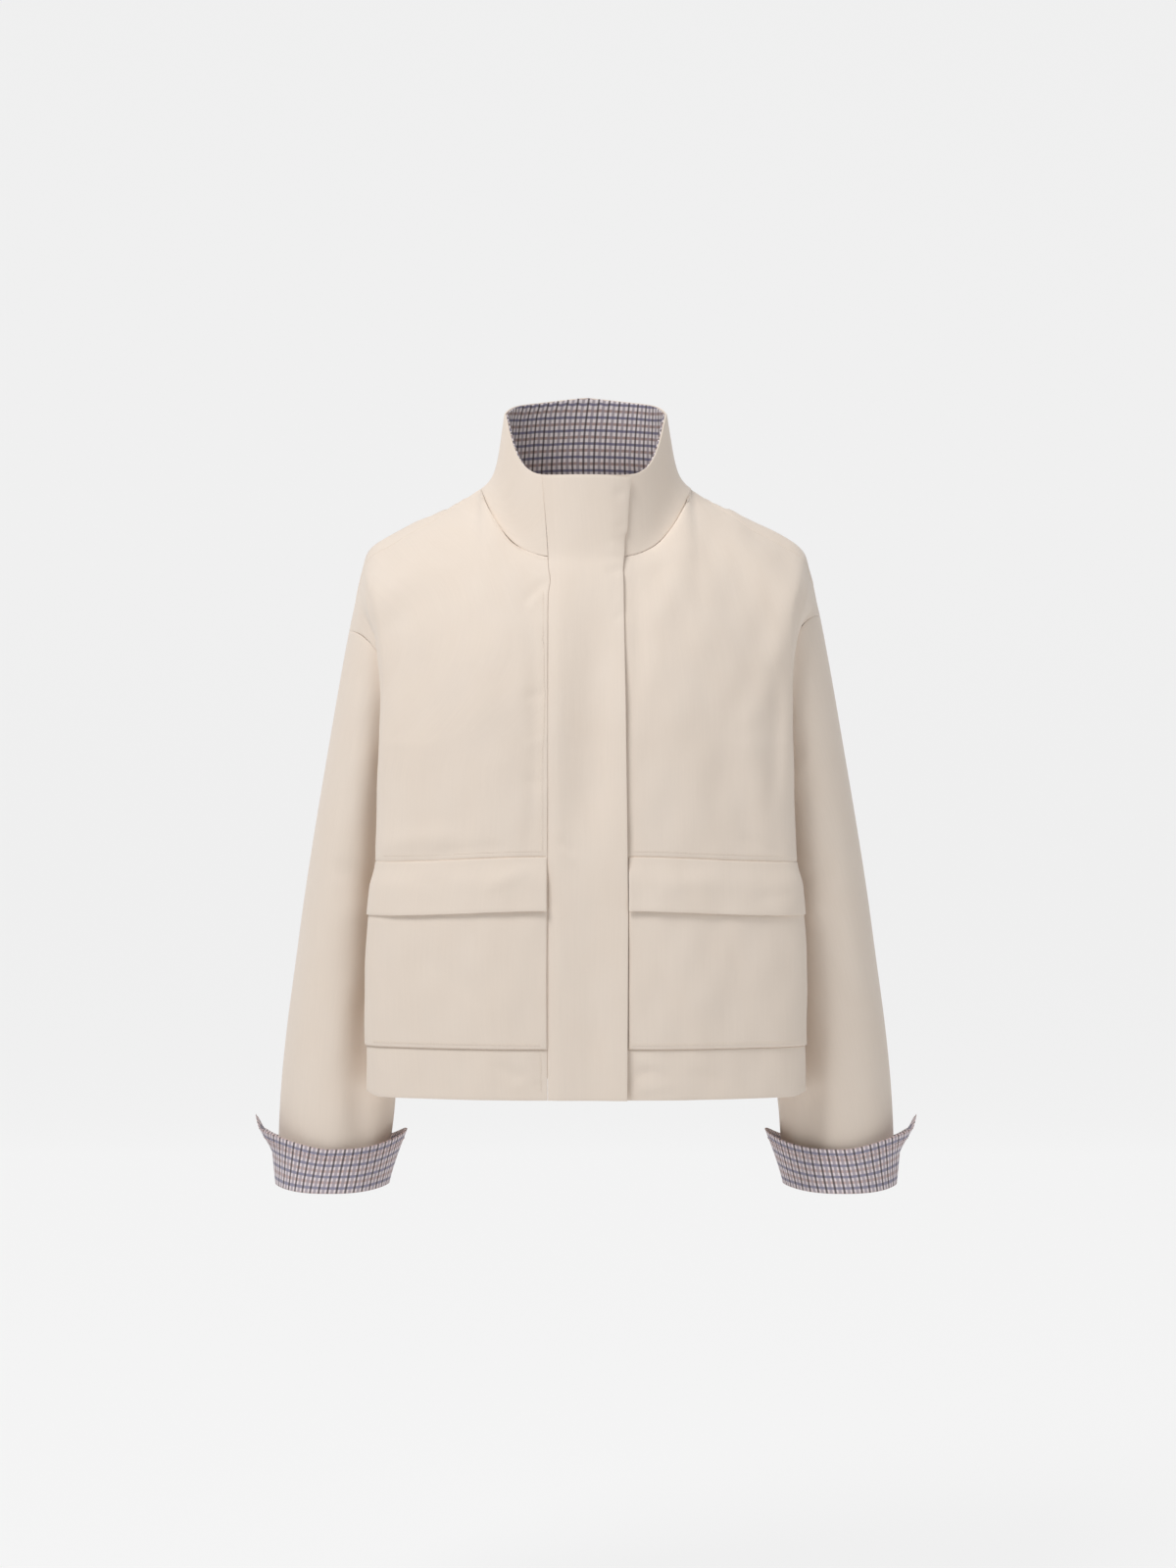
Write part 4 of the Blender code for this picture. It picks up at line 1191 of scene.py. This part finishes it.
def cloth(name, grid, thickness, material, nodes,
          centre_column=0, inside=None, closed=False, along=None, flipped=False, wall_share=None):
    """A wall of cloth whose outer face is the grid of points, with its thickness inside.

    Along takes the place of the distance up the cloth, where the weave runs level, and flipped mirrors
    the weave for the second of a pair.  Wall share thins the wall point by point.
    """
    across, up_the_cloth = flat_coordinates(grid, centre_column)
    along = up_the_cloth if along is None else along
    across = -across if flipped else across
    shape = spread_out(grid)
    layer = shape.loops.layers.uv.new("cloth")
    flat_across = across.reshape(-1)
    flat_along = along.reshape(-1)
    for face in shape.faces:
        for corner in face.loops:
            at = corner.vert.index
            corner[layer].uv = (flat_across[at] * MM, flat_along[at] * MM)
    if closed:
        bmesh.ops.remove_doubles(shape, verts=shape.verts[:], dist=WELD * MM)
    mesh = meshed(name, shape)
    piece = placed(name, mesh)
    mesh.materials.append(material)
    wall = piece.modifiers.new("wall", "SOLIDIFY")
    wall.thickness = thickness * MM
    wall.offset = -1.0
    if wall_share is not None:
        group = piece.vertex_groups.new(name="wall")
        for index, share in enumerate(wall_share.reshape(-1)):
            group.add([index], float(share), "REPLACE")
        wall.vertex_group = "wall"
    if inside:
        mesh.materials.append(inside)
        wall.material_offset = 1
    rim = piece.modifiers.new("turned edge", "BEVEL")
    rim.limit_method = "ANGLE"
    rim.angle_limit = math.radians(EDGE_ANGLE)
    rim.width = EDGE_ROUND * thickness * MM
    rim.segments = 2
    bpy.ops.object.select_all(action="DESELECT")
    piece.select_set(True)
    bpy.context.view_layer.objects.active = piece
    bpy.ops.object.modifier_apply(modifier="wall")
    bpy.ops.object.modifier_apply(modifier="turned edge")
    bpy.ops.object.shade_smooth_by_angle(angle=math.radians(SMOOTH_ANGLE))
    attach(piece, "root")
    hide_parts(*nodes)
    return piece


def stitches(name, line, facing, stitch=BODY_STITCH, thread=THREAD, slot="cream_cotton"):
    """A row of stitches along a line of points on the cloth."""
    length, gap, thick = stitch
    steps = np.linalg.norm(np.diff(line, axis=0), axis=-1)
    run = np.concatenate([[0.0], np.cumsum(steps)])
    count = int((run[-1] - gap) / (length + gap))
    starts = gap + np.arange(count) * (length + gap)
    shape = bmesh.new()

    def along_run(place, values):
        """The values at a distance along the row."""
        return np.array([np.interp(place, run, values[:, k]) for k in range(3)])

    for start in starts:
        rings = []
        for share, radius in STITCH_PROFILE:
            place = start + length * share
            centre = along_run(place, line)
            out = along_run(place, facing)
            ahead = along_run(place + STITCH_AHEAD, line)
            behind = along_run(place - STITCH_AHEAD, line)
            toward = (ahead - behind) / max(np.linalg.norm(ahead - behind), TINY)
            out = out / np.linalg.norm(out)
            beside = np.cross(toward, out)
            lift = out * thick * (STITCH_FOOT + STITCH_ARCH * radius)
            ring = []
            for i in range(STITCH_SIDES):
                turn = 2.0 * math.pi * i / STITCH_SIDES
                offset = beside * math.cos(turn) + out * math.sin(turn)
                ring.append(shape.verts.new((centre + lift + offset * 0.5 * thick * radius) * MM))
            rings.append(ring)
        for low, high in zip(rings[:-1], rings[1:]):
            for i in range(STITCH_SIDES):
                after = (i + 1) % STITCH_SIDES
                shape.faces.new((low[i], low[after], high[after], high[i]))
        shape.faces.new(rings[0][::-1])
        shape.faces.new(rings[-1])
    bmesh.ops.recalc_face_normals(shape, faces=shape.faces[:])
    mesh = meshed(name, shape)
    mesh.materials.append(thread)
    piece = placed(name, mesh)
    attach(piece, "root")
    return piece


# --- the pieces ----------------------------------------------------------------------------------

# Levels where the spacing of the body's rows changes, how long each stretch is in millimetres, and the
# close rows of the groove above the flaps
LOWER_KNOTS = [level_of(z) for z in (BAND_TOP_Z, FLAP_BOTTOM_Z, POCKET_TOP_Z, FLAP_TOP_Z, UNDERARM_Z)]
UPPER_KNOTS = [1.5, 1.9, 1.975, 2.0]
STRETCHES = (125.0, 38.0, 11.0, 103.0, 110.0, 90.0, 14.0, 6.0)
SEAM_ROWS = [level_of(FLAP_TOP_Z + off) for off in (-1.6, -0.8, 0.8, 1.6)]
BODY_LEVELS = np.sort(np.concatenate([divided(LOWER_KNOTS + UPPER_KNOTS, STRETCHES), SEAM_ROWS]))

# Columns beyond the breast, over stretches of these lengths
SIDE_COLUMNS = divided([BREAST, FOLD, CREASE, 1.0], (100.0, 36.0, 44.0))[1:]


def levels_between(low, high):
    """Levels of the rows of a piece that lies between two heights."""
    return divided([level_of(low), level_of(high)], (high - low,))


BAND_LEVELS = levels_between(HEM_Z, BAND_TOP_Z)
POCKET_LEVELS = levels_between(BAND_TOP_Z, POCKET_TOP_Z)
FLAP_LEVELS = levels_between(FLAP_BOTTOM_Z, FLAP_TOP_Z)


def front_share(edge_x, level, side):
    """Where the columns of a front stand at each level, from its edge near the centre to the side seam."""
    edge = share_at_x(edge_x, level, "front", side)
    steps = np.linspace(0.0, 1.0, NECK_STEPS + 1)
    neck = edge[:, None] + (BREAST - edge[:, None]) * steps[None, :]
    beside = np.broadcast_to(SIDE_COLUMNS, (len(level), len(SIDE_COLUMNS)))
    return np.concatenate([neck, beside], axis=1)


def seam_forward(share):
    """How far the shoulder seam lies in front of the shoulder's ridge, as a share of the rise."""
    along = np.clip((share - BREAST) / (1.0 - BREAST), 0.0, 1.0)
    back = SEAM_RETURN * beyond(along, SEAM_RETURN_FROM)
    return SHOULDER_SEAM_FORWARD * ease(along / SEAM_FORWARD_FROM) * (1.0 - back)


def hem_rounded(grid):
    """Lifts the hem a little at the two corners, where the cloth turns to the side."""
    x, z = np.abs(grid[..., 0]), grid[..., 2]
    low = 1.0 - ease((z - HEM_Z) / (BAND_TOP_Z - HEM_Z))
    grid = grid.copy()
    grid[..., 2] += HEM_CORNER * ease((x - HEM_CORNER_X) / HEM_CORNER_WIDTH) * low
    return grid


def front_base(edge_x, side, levels):
    """The front's cloth from an edge near the centre to the side seam, on the wearer's own side."""
    share = front_share(edge_x, levels, side)
    level = np.broadcast_to(levels[:, None], share.shape)
    rise = np.clip(level - 1.0, 0.0, 1.0) * (1.0 - seam_forward(share))
    level = np.where(level > 1.0, 1.0 + rise, level)
    return mirrored(body_surface(share, level, "front", side), side)


def front_edges(side, *edges):
    """Edge names for one side: start is the centre edge on the wearer's left, the side edge on the right."""
    swap = {"centre": ("start", "end"), "side": ("end", "start")}
    return [swap[edge][0 if side == "left" else 1] if edge in swap else edge for edge in edges]


def make_fronts():
    """The two fronts and their hem bands: the wearer's right one is sewn to the placket."""
    for side, edge_x in (("left", UNDERLAP_EDGE_X), ("right", -RIGHT_FRONT_EDGE_X)):
        grid = sagged(flap_seam(creased_front(front_base(edge_x, side, BODY_LEVELS))))
        inner = side == "right"
        if inner:
            grid = tucked(grid)
        grid = rolled(grid, front_edges(side, "top", "bottom"))
        grid = rolled(grid, front_edges(side, "side"), ARMHOLE_SEAM_DEPTH)
        if inner:
            grid = rolled(grid, front_edges(side, "centre"), PLACKET_SEAM_DEPTH)
        cloth(f"front_{side}_cloth", grid, CLOTH, CREAM, [f"front_{side}"])
        band = hem_rounded(creased_front(front_base(edge_x, side, BAND_LEVELS)))
        band = rolled(band, front_edges(side, "top", "side"))
        if inner:
            band = rolled(band, front_edges(side, "centre"), PLACKET_SEAM_DEPTH)
        name = f"hem_band_front_{side}"
        cloth(f"{name}_cloth", band, DOUBLED_CLOTH, CREAM, [name])


def back_base(levels):
    """The whole back, which runs on over the shoulders to the shoulder seams."""
    columns = np.concatenate([np.linspace(0.0, BREAST, NECK_STEPS + 1), SIDE_COLUMNS])
    share = np.broadcast_to(columns[None, :], (len(levels), len(columns)))
    level = np.broadcast_to(levels[:, None], share.shape)
    rise = np.clip(level - 1.0, 0.0, 1.0) * (1.0 + seam_forward(share))
    over = rise > 1.0
    halves = []
    for side in ("left", "right"):
        back = body_surface(share, np.where(level > 1.0, 1.0 + np.minimum(rise, 1.0), level), "back", side)
        front = body_surface(share, 3.0 - np.maximum(rise, 1.0), "front", side)
        halves.append(np.where(over[..., None], front, back))
    left, right = halves[0], halves[1] * np.array([-1.0, 1.0, 1.0])
    return np.concatenate([left[:, ::-1], right[:, 1:]], axis=1)


def make_back():
    """The back and its hem band."""
    grid = rolled(creased_back(back_base(BODY_LEVELS)), ["top", "bottom", "start", "end"])
    cloth("back_cloth", grid, CLOTH, CREAM, ["back"])
    band = rolled(creased_back(back_base(BAND_LEVELS)), ["top", "start", "end"])
    cloth("hem_band_back_cloth", band, DOUBLED_CLOTH, CREAM, ["hem_band_back"])


def make_sleeves():
    """The sleeves, closed round, with the check cotton inside."""
    turns = np.linspace(0.0, 2.0 * math.pi, SLEEVE_COLUMNS)
    rows = np.linspace(0.0, 1.0, SLEEVE_ROWS)
    for side in ("left", "right"):
        end = sleeve_end_z(turns)[None, :]
        z = end + (armhole_z(turns, side) - end) * rows[:, None]
        turn = np.broadcast_to(turns[None, :], z.shape)
        grid = sleeve_surface(turn, z)
        around = np.degrees(turn) * SLEEVE_DEGREE
        table = [(a * SLEEVE_DEGREE, b, c * SLEEVE_DEGREE, *rest) for a, b, c, *rest in SLEEVE_CREASES]
        out = crease_field(around, z, table)
        out = out + crease_field(np.degrees(turn), z, [SLEEVE_FOLD[side]])
        out = out + slack(around, z, SLEEVE_SEEDS[side]) * np.sin(turn / 2.0) ** 2
        beside_body = ease((-np.cos(turn) - BESIDE_BODY_FROM) / BESIDE_BODY_RUN) * (z > HEM_Z)
        out = np.where(out > 0.0, out * (1.0 - beside_body), out)
        grid = grid + normals(grid[:, ::-1])[:, ::-1] * out[..., None]
        grid[:, -1] = grid[:, 0]
        grid = rolled(stepped_back(mirrored(grid[:, ::-1], side)), ["top"], ARMHOLE_SEAM_DEPTH)
        cloth(f"sleeve_{side}_cloth", grid, CLOTH, CREAM, [f"sleeve_{side}"],
              inside=CUFF_CHECK, closed=True)


def collar_angles(steps, heights):
    """The collar starts under the placket and ends along the placket's sewn edge, row by row."""
    half_width = NECK_HALF_WIDTH + (COLLAR_TOP_HALF_WIDTH - NECK_HALF_WIDTH) * heights
    start = np.arcsin(UNDERLAP_EDGE_X / half_width)
    end = 2.0 * math.pi - np.arcsin((-RIGHT_FRONT_EDGE_X + PLACKET_LEFT_FLARE * heights) / half_width)
    return start[:, None] + (end - start)[:, None] * np.linspace(0.0, 1.0, steps)[None, :]


def make_collar():
    """The stand collar and, inside it, its lining in level rows of check."""
    heights = np.linspace(0.0, 1.0, COLLAR_ROWS) ** COLLAR_ROW_PACE
    angles = collar_angles(COLLAR_COLUMNS, heights)
    up = np.broadcast_to(heights[:, None], angles.shape)
    grid = collar_surface(angles, up)
    wave = sum(far * np.sin(count * angles + phase) for count, phase, far in COLLAR_WAVES)
    grid = moved_out(grid, (wave * up**2)[..., None])
    outside = rolled(grid, ["bottom"])
    outside = rolled(outside, ["end"], PLACKET_SEAM_DEPTH)
    cloth("collar_cloth", outside, CLOTH, CREAM, ["collar"])
    inside = moved_out(grid, -(CLOTH + LAY_GAP))
    at_back = ease((angles - GATHER_FROM) / GATHER_RUN) * ease((GATHER_TO - angles) / GATHER_RUN)
    gather = GATHER_HEIGHT * np.sin(GATHERS * angles) * at_back
    inside[..., 2] += gather * beyond(up, GATHER_TOP) - LINING_INSET * up
    arch = LINING_ARCH * (1.0 - np.sin(angles) ** 2) * (np.cos(angles) < 0.0)
    cloth("collar_lining_cloth", inside, LINING_CLOTH, COLLAR_SHADED_CHECK, ["collar_lining"],
          centre_column=angles.shape[1] // 2,
          inside=COLLAR_SHADED_CHECK, along=grid[..., 2] - arch)


def placket_base():
    """The surface below the placket, up the front and on up the collar."""
    across = np.linspace(0.0, 1.0, PLACKET_COLUMNS)
    levels = np.concatenate([BAND_LEVELS, BODY_LEVELS[1:]])
    rows = []
    for level in levels:
        x = PLACKET_LEFT + (PLACKET_RIGHT - PLACKET_LEFT) * across
        share = share_at_x(x, np.full_like(x, level), "front", "left")
        rows.append(body_surface(share, np.full_like(x, level), "front", "left"))
    for height in np.linspace(0.0, 1.0, PLACKET_COLLAR_ROWS + 1)[1:]:
        left = PLACKET_LEFT - PLACKET_LEFT_FLARE * height
        x = left + (PLACKET_RIGHT + PLACKET_RIGHT_FLARE * height - left) * across
        half_width = NECK_HALF_WIDTH + (COLLAR_TOP_HALF_WIDTH - NECK_HALF_WIDTH) * height
        rows.append(collar_surface(np.arcsin(x / half_width), np.full_like(x, height)))
    return np.array(rows), across


def make_placket():
    """The placket: sewn down on one side, with a free edge that lifts and wanders on the other."""
    base, across = placket_base()
    z = base[..., 2]
    smooth = base.copy()
    for _ in range(PLACKET_SMOOTHING):
        smooth[1:-1] = 0.25 * smooth[:-2] + 0.5 * smooth[1:-1] + 0.25 * smooth[2:]
    lift = (LAY_GAP + DOUBLED_CLOTH) * ease(across / PLACKET_LAY_SHARE)
    wave = PLACKET_EDGE_LIFT
    for far, run, phase in PLACKET_EDGE_WAVES:
        wave = wave + far * np.sin(z / run + phase)
    lift = lift[None, :] + beyond(across, PLACKET_LIFT_FROM)[None, :] * wave
    grid = smooth + normals(smooth) * lift[..., None]
    heights, places = np.array(PLACKET_EDGE).T
    edge = np.interp(z[:, -1], heights, places)
    grid[..., 0] += (edge - smooth[:, -1, 0])[:, None] * beyond(across, PLACKET_WANDER_FROM)[None, :]
    droop = ease((z - PLACKET_DROOP_Z) / PLACKET_DROOP_RUN) * beyond(across, PLACKET_DROOP_FROM)[None, :]
    grid[..., 2] -= PLACKET_DROOP * droop
    grid = tucked(creased_front(grid, PLACKET_CREASES))
    grid = rolled(grid, ["start"], PLACKET_SEAM_DEPTH)
    cloth("placket_cloth", grid, DOUBLED_CLOTH, CREAM, ["placket"])


def beside_placket(side, levels):
    """The creased front from beside the placket nearly to the side seam."""
    edge_x = PLACKET_RIGHT if side == "left" else -PLACKET_LEFT
    base = creased_front(front_base(edge_x + POCKET_MARGIN, side, levels))
    return base[:, :-2] if side == "left" else base[:, 2:]


def make_pockets():
    """The patch pockets and the flaps that lie on them."""
    for side in ("left", "right"):
        base = beside_placket(side, POCKET_LEVELS)
        belly = np.sin(math.pi * np.linspace(0.0, 1.0, base.shape[0]))[:, None]
        belly = belly * np.sin(math.pi * np.linspace(0.0, 1.0, base.shape[1]))[None, :]
        grid = moved_out(base, (LAY_GAP + LINING_CLOTH + POCKET_BELLY * belly)[..., None])
        grid = rolled(sagged(grid), ["bottom"], POCKET_SEAM_DEPTH)
        cloth(f"pocket_{side}_cloth", grid, LINING_CLOTH, CREAM, [f"pocket_{side}"])
        base = beside_placket(side, FLAP_LEVELS)
        down = np.linspace(1.0, 0.0, base.shape[0])[:, None]
        full = 2.0 * LAY_GAP + LINING_CLOTH + CLOTH
        off_side = 1.0 - ease((np.abs(base[..., 0]) - FLAP_FLAT_FROM_X) / FLAP_FLAT_RUN)
        lift = FLAP_SEAM_LIFT + full * ease(2.0 * down) + (FLAP_LIFT + FLAP_EDGE_LIFT * down**3) * off_side
        grid = moved_out(base, lift[..., None])
        grid = rolled(sagged(grid), ["top"])
        cloth(f"flap_{side}_cloth", grid, CLOTH, CREAM, [f"flap_{side}"])


def make_cuffs():
    """The turned-back cuffs, open at the vent, with a row of rose stitches near the edge."""
    turns = np.linspace(CUFF_VENT, 2.0 * math.pi - CUFF_VENT, CUFF_COLUMNS)
    turn, height = np.meshgrid(turns, np.linspace(0.0, 1.0, CUFF_ROWS))
    outer = np.cos(turn) > 0.0
    outward = np.abs(np.cos(turn))
    rise, sharpness, spread = (
        np.where(outer, CUFF_SIDES["outer"][size], CUFF_SIDES["inner"][size])
        for size in ("rise", "sharpness", "spread")
    )
    fold = sleeve_surface(turn, sleeve_end_z(turn) + CUFF_FOLD_Z - SLEEVE_END_Z)
    centre = through(SLEEVE_SECTIONS, np.array(CUFF_FOLD_Z))[:2]
    away = fold[..., :2] - centre
    away = away / np.linalg.norm(away, axis=-1, keepdims=True)
    fold_plan = fold[..., :2] + away * (2.0 * LAY_GAP + CLOTH)
    edge_x = CUFF_TOP_CENTRE_X + CUFF_TOP_HALF_WIDTH * np.cos(turn)
    edge_y = CUFF_TOP_CENTRE_Y - CUFF_TOP_HALF_DEPTH * np.sin(turn)
    sharpness = np.where(outer & (np.sin(turn) < 0.0), CUFF_BACK_SHARPNESS, sharpness)
    edge_z = CUFF_EDGE_Z + rise * outward**sharpness
    share = height ** (CUFF_SPREAD + (spread - CUFF_SPREAD) * outward**2)
    above = np.clip((height - CUFF_NOTCH) / (1.0 - CUFF_NOTCH), 0.0, 1.0)
    notched = CUFF_BELOW_NOTCH * height + (1.0 - CUFF_BELOW_NOTCH) * above**CUFF_NOTCH_LATE
    share = share + (notched - share) * outer * beyond(outward, CUFF_NOTCH_FROM)
    x = fold_plan[..., 0] * (1.0 - share) + edge_x * share
    y = fold_plan[..., 1] * (1.0 - share) + edge_y * share
    z = fold[..., 2] + (edge_z - fold[..., 2]) * height
    tip = beyond(outward, CUFF_TIP_FROM) * outer * height**6
    x = x + CUFF_TIP_OUT * tip
    z = z + CUFF_TIP_RISE * tip * np.where(np.sin(turn) < 0.0, CUFF_TIP_BACK, 1.0)
    thinned = (1.0 - CUFF_TIP_THIN * beyond(outward, CUFF_THIN_FROM) * outer * height**2)[:, ::-1]
    grid = points(x, y, z)[:, ::-1]
    wave = CUFF_WAVE * np.sin(CUFF_WAVES * turn[:, ::-1]) * height
    grid = moved_out(grid, wave[..., None])
    along = CUFF_CLOTH_HEIGHT * height
    middle = grid.shape[1] * 3 // 4
    for side in ("left", "right"):
        turned = mirrored(grid, side)
        cloth(f"cuff_{side}_cloth", turned, CLOTH, CUFF_CHECK, [f"cuff_{side}"],
              centre_column=middle if side == "left" else grid.shape[1] - 1 - middle,
              flipped=side == "right", along=along,
              wall_share=thinned if side == "left" else thinned[:, ::-1])
        line, facing = turned[CUFF_STITCH_ROW], normals(turned)[CUFF_STITCH_ROW]
        stitches(f"cuff_stitch_{side}", line, facing, CUFF_STITCH, ROSE_THREAD, "check_lining")


def body_line(x_values, level, side, above):
    """A line of points on the creased front at given places and levels, with the outward directions."""
    x_values = np.abs(np.asarray(x_values, float))
    trial = np.linspace(0.0, 1.0, BODY_LINE_TRIALS)
    rows = []
    for offset in (-1.0, 0.0, 1.0):
        row = []
        for x, height in zip(x_values, level + offset / (UNDERARM_Z - HEM_Z)):
            line = body_surface(trial, np.full_like(trial, height), "front", side)
            stop = int(np.argmax(line[:, 0])) + 1
            share = np.interp(x, line[:stop, 0], trial[:stop])
            row.append(body_surface(np.array(share), np.array(height), "front", side))
        rows.append(row)
    grid = np.array(rows)
    if side == "right":
        grid = grid * np.array([-1.0, 1.0, 1.0])
    facing = normals(grid)
    if facing[1, 0, 1] > 0.0:
        facing = -facing
    grid = sagged(grid + facing * (front_creases(grid) + above)[..., None])
    return grid[1], facing[1]


def make_stitches():
    """The rows above each flap and each hem band, and those beside the placket's sewn edge."""
    on_pocket = LAY_GAP + LINING_CLOTH + STITCH_CLEARANCE
    for side, start_x in TOPSTITCH_START_X.items():
        for name, end_x, z, above in (
            # row, where it ends, its height, how far above the cloth
            ("flap_topstitch", FLAP_STITCH_END_X, FLAP_TOP_Z + FLAP_STITCH_UP, 0.0),
            ("pocket_topstitch", POCKET_STITCH_END_X, BAND_TOP_Z + POCKET_STITCH_UP, on_pocket),
        ):
            across = np.linspace(start_x, end_x, STITCH_LINE_POINTS)
            level = np.full(STITCH_LINE_POINTS, level_of(z))
            stitches(f"{name}_{side}", *body_line(across, level, side, above))
    for name, top, bottom, count, above in (
        # row, its upper and lower level, points, how far above the cloth
        ("front_edge_topstitch", TOPSTITCH_TOP_LEVEL, level_of(FLAP_TOP_Z + 2.0), 120, 0.0),
        ("pocket_edge_topstitch", level_of(FLAP_BOTTOM_Z - 4.0), TOPSTITCH_LOW_LEVEL, 70, on_pocket),
    ):
        level = np.linspace(top, bottom, count)
        stitches(name, *body_line(np.full(count, TOPSTITCH_X), level, "right", above))


make_fronts()
make_back()
make_sleeves()
make_collar()
make_placket()
make_pockets()
make_cuffs()
make_stitches()


# --- stage, light and camera ---------------------------------------------------------------------


def make_stage():
    """A pale floor that curves up into a backdrop."""
    profile = [(-FLOOR_REACH, 0.0), (BACKDROP_FOOT_Y, 0.0)]
    for i in range(1, BACKDROP_STEPS + 1):
        turn = 0.5 * math.pi * i / BACKDROP_STEPS
        back = BACKDROP_FOOT_Y + BACKDROP_RADIUS * math.sin(turn)
        profile.append((back, BACKDROP_RADIUS * (1.0 - math.cos(turn))))
    profile.append((BACKDROP_FOOT_Y + BACKDROP_RADIUS, FLOOR_REACH))
    grid = np.array([[(x, y, FLOOR_Z + z) for x in (-FLOOR_REACH, FLOOR_REACH)] for y, z in profile])
    mesh = meshed("floor_and_backdrop", spread_out(grid))
    made, tree, shader = new_material("pale paper backdrop", linear(FLOOR_HEX))
    join(tree, shader, Base_Color=linear(FLOOR_HEX), Roughness=0.95)
    join(tree, shader, Emission_Color=WHITE, Emission_Strength=BACKDROP_GLOW)
    mesh.materials.append(made)
    floor = placed("floor_and_backdrop", mesh)


def area_light(name, place, aim, size, power):
    """A square light that is turned toward its aim."""
    data = bpy.data.lights.new(name, "AREA")
    data.shape = "SQUARE"
    data.size = size
    data.energy = power
    light = placed(name, data)
    light.location = place
    away = np.array(place) - np.array(aim)
    flat = math.hypot(away[0], away[1])
    light.rotation_euler = (math.atan2(flat, away[2]), 0.0, math.atan2(away[0], -away[1]))


def make_light():
    """A strong soft light from the upper left, a weak one from the right and a little from above."""
    world = bpy.data.worlds.new("soft studio")
    bpy.context.scene.world = world
    world.use_nodes = True
    background = world.node_tree.nodes["Background"]
    join(world.node_tree, background, Color=WHITE, Strength=WORLD_STRENGTH)
    for light in LIGHTS:
        area_light(*light)
    bpy.context.scene.view_settings.view_transform = "Standard"


def make_camera():
    """The camera of the photo, level and straight in front."""
    data = bpy.data.cameras.new("camera")
    data.sensor_fit = "VERTICAL"
    data.sensor_height = SENSOR_HEIGHT
    data.lens = SENSOR_HEIGHT * CAMERA_DISTANCE / VIEW_HEIGHT
    camera = placed("camera", data)
    camera.location = (CAMERA_X * MM, -CAMERA_DISTANCE * MM, CAMERA_Z * MM)
    camera.rotation_euler = (0.5 * math.pi, 0.0, 0.0)
    bpy.context.scene.camera = camera


make_stage()
make_light()
make_camera()
